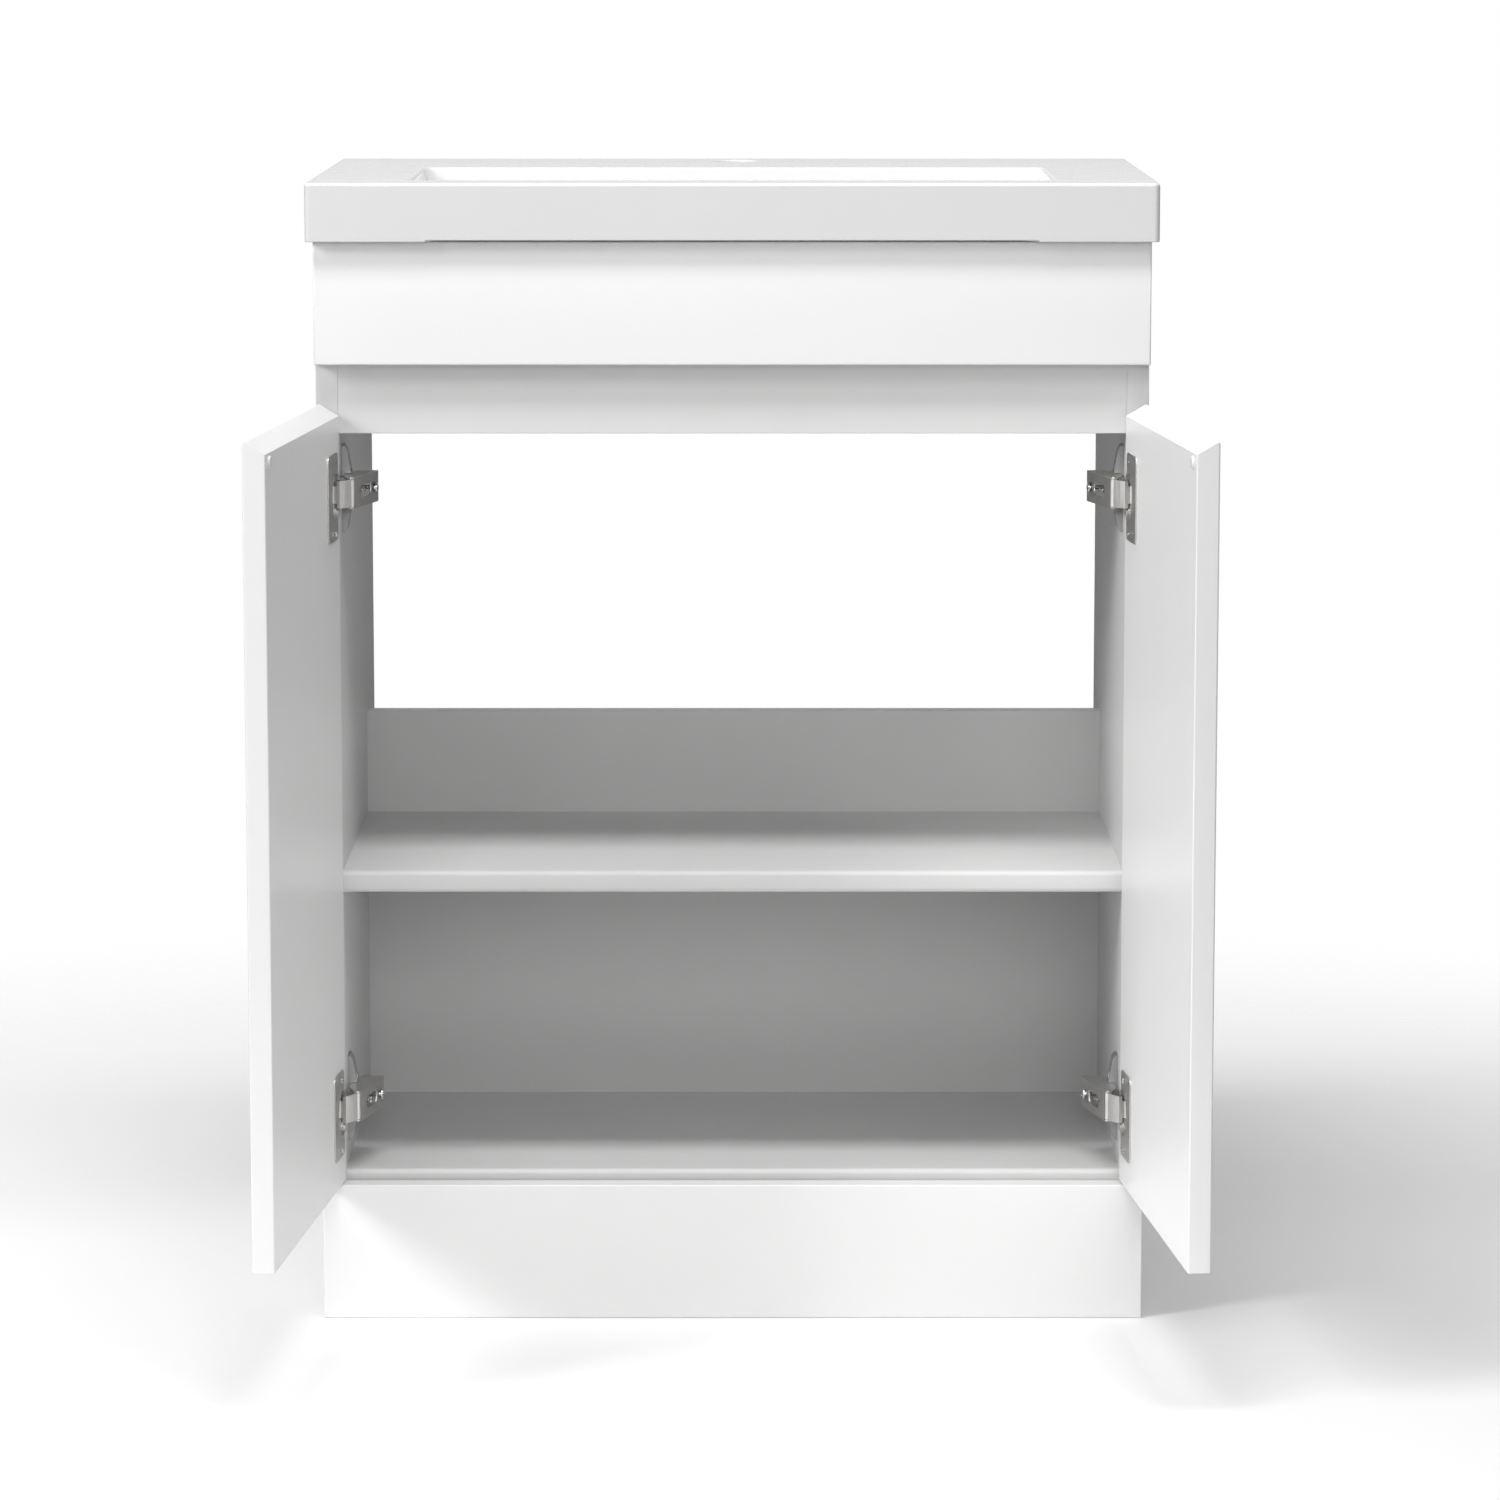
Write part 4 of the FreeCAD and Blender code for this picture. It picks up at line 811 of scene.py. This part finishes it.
def rounded_ring(half_width, front, back, radius, height):
    """Points of a rounded rectangle, anticlockwise from above."""
    corners = (
        (half_width - radius, front + radius, -90), (half_width - radius, back - radius, 0),
        (radius - half_width, back - radius, 90), (radius - half_width, front + radius, 180),
    )
    arcs = []
    for x, y, start in corners:
        turns = sweep(math.radians(start), math.radians(start + 90), CORNER_STEPS)
        arcs.append(arc_points(x, y, radius, height, turns))
    points = []
    for arc, following in zip(arcs, arcs[1:] + arcs[:1]):
        points += arc
        points += [arc[-1].lerp(following[0], k / SIDE_STEPS) for k in range(1, SIDE_STEPS)]
    return points


def level_circle(centre, radius, height):
    """A circle with as many points as a rounded ring, which has its corners on the diagonals."""
    count = 4 * (CORNER_STEPS + SIDE_STEPS)
    turns = [(i - CORNER_STEPS / 2) * math.tau / count - math.pi / 4 for i in range(count)]
    return arc_points(centre.x, centre.y, radius, height, turns)


def bowl_ring(inset, depth, radius):
    """A level ring of the bowl, moved in from its mouth and down from the basin's top."""
    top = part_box("basin")[1].z
    front, back, corner = BOWL_FRONT + inset, BOWL_BACK - inset, max(radius, LEAST_CORNER)
    return rounded_ring(BOWL_HALF - inset, front, back, corner, top - depth)


def bowl_corner(share):
    """The corner radius of the bowl's wall at a share of its depth."""
    return MOUTH_CORNER + (FLOOR_CORNER - MOUTH_CORNER) * share


def join_rings(made, rings):
    """Faces between each ring of points and the next. Returns the rings' vertices."""
    rows = [[made.verts.new(point) for point in ring] for ring in rings]
    for row, following in zip(rows, rows[1:]):
        for i in range(len(row)):
            j = (i + 1) % len(row)
            made.faces.new((row[i], row[j], following[j], following[i]))
    return rows


def fill_between(made, *rows):
    """A flat surface bounded by closed rows of vertices."""
    edges = []
    for row in rows:
        for first, second in zip(row, row[1:] + row[:1]):
            edges.append(made.edges.get((first, second)) or made.edges.new((first, second)))
    bmesh.ops.triangle_fill(made, edges=edges, use_beauty=True)


def bowl_inside(mouth_round):
    """Rings over the mouth's round edge, down the wall and over the round at the floor."""
    lean = math.atan2(BOWL_LEAN, BOWL_DEPTH)
    back_off = math.tan(math.pi / 4 - lean / 2)
    rings = []
    for turn in sweep(math.pi / 2, lean, ROUND_STEPS):
        inset = mouth_round * (math.cos(turn) - back_off)
        depth = mouth_round * (1 - math.sin(turn))
        rings.append(bowl_ring(inset, depth, MOUTH_CORNER - inset))
    for share in sweep(WALL_FIRST, WALL_FIRST + WALL_SPREAD, ROUND_STEPS)[1:-1]:
        rings.append(bowl_ring(BOWL_LEAN * share, BOWL_DEPTH * share, bowl_corner(share)))
    for turn in sweep(math.pi + lean, math.pi * 3 / 2, FLOOR_STEPS):
        inset = BOWL_LEAN + FLOOR_ROUND * (back_off + math.cos(turn))
        depth = BOWL_DEPTH - FLOOR_ROUND * (1 + math.sin(turn))
        rings.append(bowl_ring(inset, depth, FLOOR_CORNER - max(0, inset - BOWL_LEAN)))
    return rings


def fall_to_waste(edge_ring, centre):
    """Rings over the sloping floor and down into the waste hole."""
    level = edge_ring[0].z
    rim = level_circle(centre, WASTE_RADIUS + WASTE_ROUND, level - WASTE_FALL)
    rings = []
    for share in sweep(0, 1, ROUND_STEPS)[1:-1]:
        ring = [start.lerp(end, share) for start, end in zip(edge_ring, rim)]
        for point in ring:
            point.z = level - WASTE_FALL * share
        rings.append(ring)
    return rings + round_lip(centre, WASTE_RADIUS, WASTE_ROUND, level - WASTE_FALL)


def round_lip(centre, radius, rounding, top):
    """Rings over the rounded upper edge of a hole."""
    return [
        level_circle(
            centre, radius + rounding * (1 - math.sin(turn)), top - rounding * (1 - math.cos(turn))
        )
        for turn in sweep(0, math.pi / 2, HOLE_STEPS)
    ]


def bowl_outside(top, bottom, centre):
    """Rings of the bowl's outer skin, from the deck's underside down to the waste hole."""
    whole = BOWL_DEPTH + BOWL_SKIN
    rings = []
    for depth in sweep(DECK_THICK, whole - SKIN_ROUND, ROUND_STEPS):
        share = depth / whole
        corner = bowl_corner(share) + BOWL_SKIN
        rings.append(bowl_ring(BOWL_LEAN * share - BOWL_SKIN, depth, corner))
    inset, fall = BOWL_LEAN - BOWL_SKIN, top - bottom
    rings.append(bowl_ring(inset + SKIN_BEVEL, fall - SKIN_BEVEL, FLOOR_CORNER + SKIN_SWELL))
    rings.append(bowl_ring(inset + SKIN_ROUND, fall, FLOOR_CORNER))
    rings.append(level_circle(centre, WASTE_RADIUS, bottom))
    return rings


def cut_relief(ring, half):
    """Lift the front of a ring off the fascia, with a steep end on each side."""
    step = 2 * half / SIDE_STEPS
    for point in ring:
        beyond = abs(point.x) - RELIEF_HALF
        if point.y < 0 and beyond < 0:
            point.z += RELIEF_DEEP
        elif point.y < 0 and beyond < step:
            point.x = math.copysign(RELIEF_HALF + RELIEF_END, point.x)
    return ring


def deck_outside(low, high, under, edge):
    """Rings from the hollow below the deck, under the rim, and up the outside to the top."""
    half, deck_under = high.x, high.z - DECK_THICK

    def hollow(inset, height):
        side, front, back = half - RIM_WIDTH - inset, HOLLOW_FRONT + inset, high.y - RIM_WIDTH
        return rounded_ring(side, front, back - inset, HOLLOW_CORNER, height)

    def outer(inset, height):
        corner = DECK_CORNER - inset
        return rounded_ring(half - inset, low.y + inset, high.y - inset, corner, height)

    rings = [
        hollow(HOLLOW_ROUND, deck_under), hollow(0, deck_under - HOLLOW_ROUND), hollow(0, under),
        cut_relief(outer(UNDER_ROUND, under), half),
        cut_relief(outer(0, under + UNDER_ROUND), half),
    ]
    for turn in sweep(0, math.pi / 2, ROUND_STEPS):
        rings.append(outer(edge * (1 - math.cos(turn)), high.z - edge * (1 - math.sin(turn))))
    return rings


class VANITY_OT_basin(bpy.types.Operator):
    """The glazed wash basin: deck, tap hole, leaning bowl with a fall to its waste, hollow edge"""

    bl_idname = "vanity.make_basin"
    bl_label = "Basin"

    def execute(self, context):
        low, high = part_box("basin")
        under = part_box("side_panel_left")[1].z
        edges = context.scene.vanity_edges
        waste = Vector((0, (BOWL_FRONT + BOWL_BACK) / 2, 0))
        tap = Vector((0, high.y - TAP_FROM_BACK, 0))
        inside = bowl_inside(edges.mouth)
        inside += fall_to_waste(inside[-1], waste)
        made = bmesh.new()
        deck = join_rings(made, deck_outside(low, high, under, edges.basin))
        bowl = join_rings(made, inside + bowl_outside(high.z, low.z, waste)[::-1])
        lip = round_lip(tap, TAP_RADIUS, TAP_ROUND, high.z)
        hole = join_rings(made, lip + [level_circle(tap, TAP_RADIUS, high.z - DECK_THICK)])
        fill_between(made, deck[-1], bowl[0], hole[0])
        fill_between(made, deck[0], bowl[-1], hole[-1])
        bmesh.ops.recalc_face_normals(made, faces=made.faces[:])
        for face in made.faces:
            is_low = face.calc_center_median().z < high.z - DECK_THICK / 2
            face.material_index = 1 if is_low and face.normal.z < FACING_DOWN else 0
        soften(made, SHARP_TURN_GROWN)
        mesh = mesh_of(made, "wash_basin")
        piece = place_piece("wash_basin", mesh, "basin", "white_glaze", "basin_raw")
        weigh = piece.modifiers.new("Flat deck", "WEIGHTED_NORMAL")
        weigh.keep_sharp = True
        return {"FINISHED"}


HINGE_PIECES = {
    "hinge_cup": "satin_nickel",
    "hinge_link": "link_steel",
    "hinge_arm": "satin_nickel",
    "mounting_plate": "cast_zinc",
}


class VANITY_OT_hinges(bpy.types.Operator):
    """Cups, links, arms and mounting plates, with their pins"""

    bl_idname = "vanity.make_hinges"
    bl_label = "Hinges"

    def execute(self, context):
        width = context.scene.vanity_edges.sheet
        for side in SIDES:
            for level in LEVELS:
                for kind, finish in HINGE_PIECES.items():
                    finished_fitting(f"{kind}_{side}_{level}", finish, width)
            finished_fitting(f"cup_pins_{side}", "bright_zinc", width)
        finished_fitting("hinge_arm_pins", "bright_zinc", width)
        return {"FINISHED"}


FITTING_FINISHES = {
    "carcass_dowels": "turned_beech",
    "cam_nuts": "cast_zinc",
    "cam_bolts": "bright_zinc",
    "shelf_pins": "satin_nickel",
}


class VANITY_OT_fittings(bpy.types.Operator):
    """Dowels, cam nuts, bolts and shelf pins"""

    bl_idname = "vanity.make_fittings"
    bl_label = "Joint fittings"

    def execute(self, context):
        for node, finish in FITTING_FINISHES.items():
            finished_fitting(node, finish, context.scene.vanity_edges.fitting)
        return {"FINISHED"}


SCREW_FINISHES = {
    "fascia_screws": "bright_zinc",
    "plinth_screws": "bright_zinc",
    "plate_screws": "bright_zinc",
    # The side adjusting screws take the dark cast zinc rather than bright zinc: painted shade for
    # the arm's slot they sit in.
    "side_adjusting_screws": "cast_zinc",
    "arm_fixing_screws": "bright_zinc",
    "cup_screws_left": "bright_zinc",
    "cup_screws_right": "bright_zinc",
}


class VANITY_OT_screws(bpy.types.Operator):
    """Every screw, all of one kind as large as its first"""

    bl_idname = "vanity.make_screws"
    bl_label = "Screws"

    def execute(self, context):
        for seed, (node, finish) in enumerate(SCREW_FINISHES.items()):
            screws = [measure_screw(points) for points in loose_parts(node)]
            head_radius, head_height, shank_radius, shank_length = screws[0][2]
            mesh = grow("cross_head_screws", seat_mesh(node, [screw[:2] for screw in screws]), {
                "Head radius": head_radius, "Head height": head_height,
                "Shank radius": shank_radius, "Shank length": shank_length,
                "Seed": seed, "Finish": finish_named(finish),
            })
            place_piece(f"{node}_finished", mesh, node, finish)
        return {"FINISHED"}


# ---------------------------------------------------------------- stage


Lamp = namedtuple("Lamp", "at aim width height power")

LAMPS = {
    "left_panel": Lamp((-3.5, -2.1, 2.6), (0, -0.1, 0.45), width=1.4, height=1.4, power=124),
    "front_panel": Lamp((0.2, -4.8, 1.9), (0, 0, 0.4), width=1.6, height=1.2, power=42),
    "top_panel": Lamp((0, 0.35, 3.2), (0, 0.2, 0.8), width=2.0, height=1.4, power=8),
    "steep_panel": Lamp((0, -1.3, 3.6), (0, 0, 0.5), width=2.4, height=0.7, power=82),
}
WHITE, MIRRORED = (1, 1, 1, 1), (0.8, 0.8, 0.8, 1)

# What is mirrored grows from dim to bright between these two heights of a ray's direction.
HORIZON = (-0.02, 0.06)
FLOOR_RADIUS, FLOOR_SIDES, SENSOR_WIDTH = 14, 96, 36


def add_panel_light(name, lamp):
    """A soft rectangular lamp that faces its aim."""
    light = bpy.data.lights.new(name, "AREA")
    light.shape = "RECTANGLE"
    light.size, light.size_y = lamp.width, lamp.height
    light.energy = lamp.power
    holder = bpy.data.objects.new(name, light)
    holder.location = lamp.at
    way = Vector(lamp.aim) - Vector(lamp.at)
    holder.rotation_euler = way.to_track_quat("-Z", "Y").to_euler()
    bpy.context.scene.collection.objects.link(holder)


def white_world(surround):
    """A dim white surround that the camera sees as white, and mirrors see bright from above."""
    world = bpy.data.worlds.new("white_surround")
    world.use_nodes = True
    tree = world.node_tree
    nodes, links = tree.nodes, tree.links
    light = next(n for n in nodes if n.type == "BACKGROUND")
    light.inputs["Color"].default_value = WHITE
    light.inputs["Strength"].default_value = surround
    seen, mirrored = (nodes.new("ShaderNodeBackground") for _ in range(2))
    seen.inputs["Color"].default_value = WHITE
    mirrored.inputs["Color"].default_value = MIRRORED
    way = nodes.new("ShaderNodeSeparateXYZ")
    links.new(nodes.new("ShaderNodeTexCoord").outputs["Generated"], way.inputs["Vector"])
    glow = remap(tree, way.outputs["Z"], HORIZON, (surround, 1.0))
    links.new(glow, mirrored.inputs["Strength"])
    path = nodes.new("ShaderNodeLightPath")
    shown = light.outputs["Background"]
    for kind, source in (("Is Glossy Ray", mirrored), ("Is Camera Ray", seen)):
        choice = nodes.new("ShaderNodeMixShader")
        links.new(path.outputs[kind], choice.inputs["Fac"])
        links.new(shown, choice.inputs[1])
        links.new(source.outputs["Background"], choice.inputs[2])
        shown = choice.outputs["Shader"]
    output = next(n for n in nodes if n.type == "OUTPUT_WORLD")
    links.new(shown, output.inputs["Surface"])
    return world


class VANITY_OT_stage(bpy.types.Operator):
    """Pale floor, white surround, soft lights and the camera"""

    bl_idname = "vanity.make_stage"
    bl_label = "Stage"

    def execute(self, context):
        scene, studio = context.scene, context.scene.vanity_studio
        made = bmesh.new()
        bmesh.ops.create_circle(made, cap_ends=True, radius=FLOOR_RADIUS, segments=FLOOR_SIDES)
        floor = bpy.data.objects.new("floor", mesh_of(made, "floor"))
        scene.collection.objects.link(floor)
        floor.data.materials.append(finish_named("pale_floor"))
        scene.world = white_world(studio.surround)
        for name, lamp in LAMPS.items():
            add_panel_light(name, lamp)

        lens = bpy.data.cameras.new("camera")
        lens.lens = studio.lens
        lens.sensor_width = SENSOR_WIDTH
        camera = bpy.data.objects.new("camera", lens)
        camera.location = (studio.camera_aside, -studio.camera_back, studio.camera_up)
        camera.rotation_euler = Euler((math.pi / 2 - studio.camera_down, 0, 0))
        scene.collection.objects.link(camera)
        scene.camera = camera
        scene.view_settings.view_transform = "Standard"
        return {"FINISHED"}


# ---------------------------------------------------------------- panel and registration

PIECE_OPERATORS = (
    VANITY_OT_carcass, VANITY_OT_fronts, VANITY_OT_doors, VANITY_OT_basin,
    VANITY_OT_hinges, VANITY_OT_fittings, VANITY_OT_screws, VANITY_OT_stage,
)


class VANITY_PT_sidebar(bpy.types.Panel):
    """Settings and one button for each group of pieces"""

    bl_label = "Vanity Cabinet"
    bl_idname = "VANITY_PT_sidebar"
    bl_space_type = "VIEW_3D"
    bl_region_type = "UI"
    bl_category = "Vanity"

    def draw(self, context):
        for group in ("vanity_finishes", "vanity_edges", "vanity_studio"):
            box = self.layout.box()
            settings = getattr(context.scene, group)
            for name in settings.bl_rna.properties.keys():
                if name not in ("rna_type", "name"):
                    box.prop(settings, name)
        for operator in PIECE_OPERATORS:
            self.layout.operator(operator.bl_idname)


SETTINGS = {
    "vanity_finishes": VanityFinishes, "vanity_edges": VanityEdges, "vanity_studio": VanityStudio,
}
CLASSES = (*SETTINGS.values(), *PIECE_OPERATORS, VANITY_PT_sidebar)


def register():
    """Make the settings and the operators known."""
    for each in CLASSES:
        bpy.utils.register_class(each)
    for name, group in SETTINGS.items():
        setattr(bpy.types.Scene, name, PointerProperty(type=group))


def unregister():
    """Take them away again."""
    for name in SETTINGS:
        delattr(bpy.types.Scene, name)
    for each in reversed(CLASSES):
        bpy.utils.unregister_class(each)


def main():
    """Build every group of pieces and the stage."""
    register()
    for operator in PIECE_OPERATORS:
        group, name = operator.bl_idname.split(".")
        getattr(getattr(bpy.ops, group), name)()


if __name__ == "__main__":
    main()
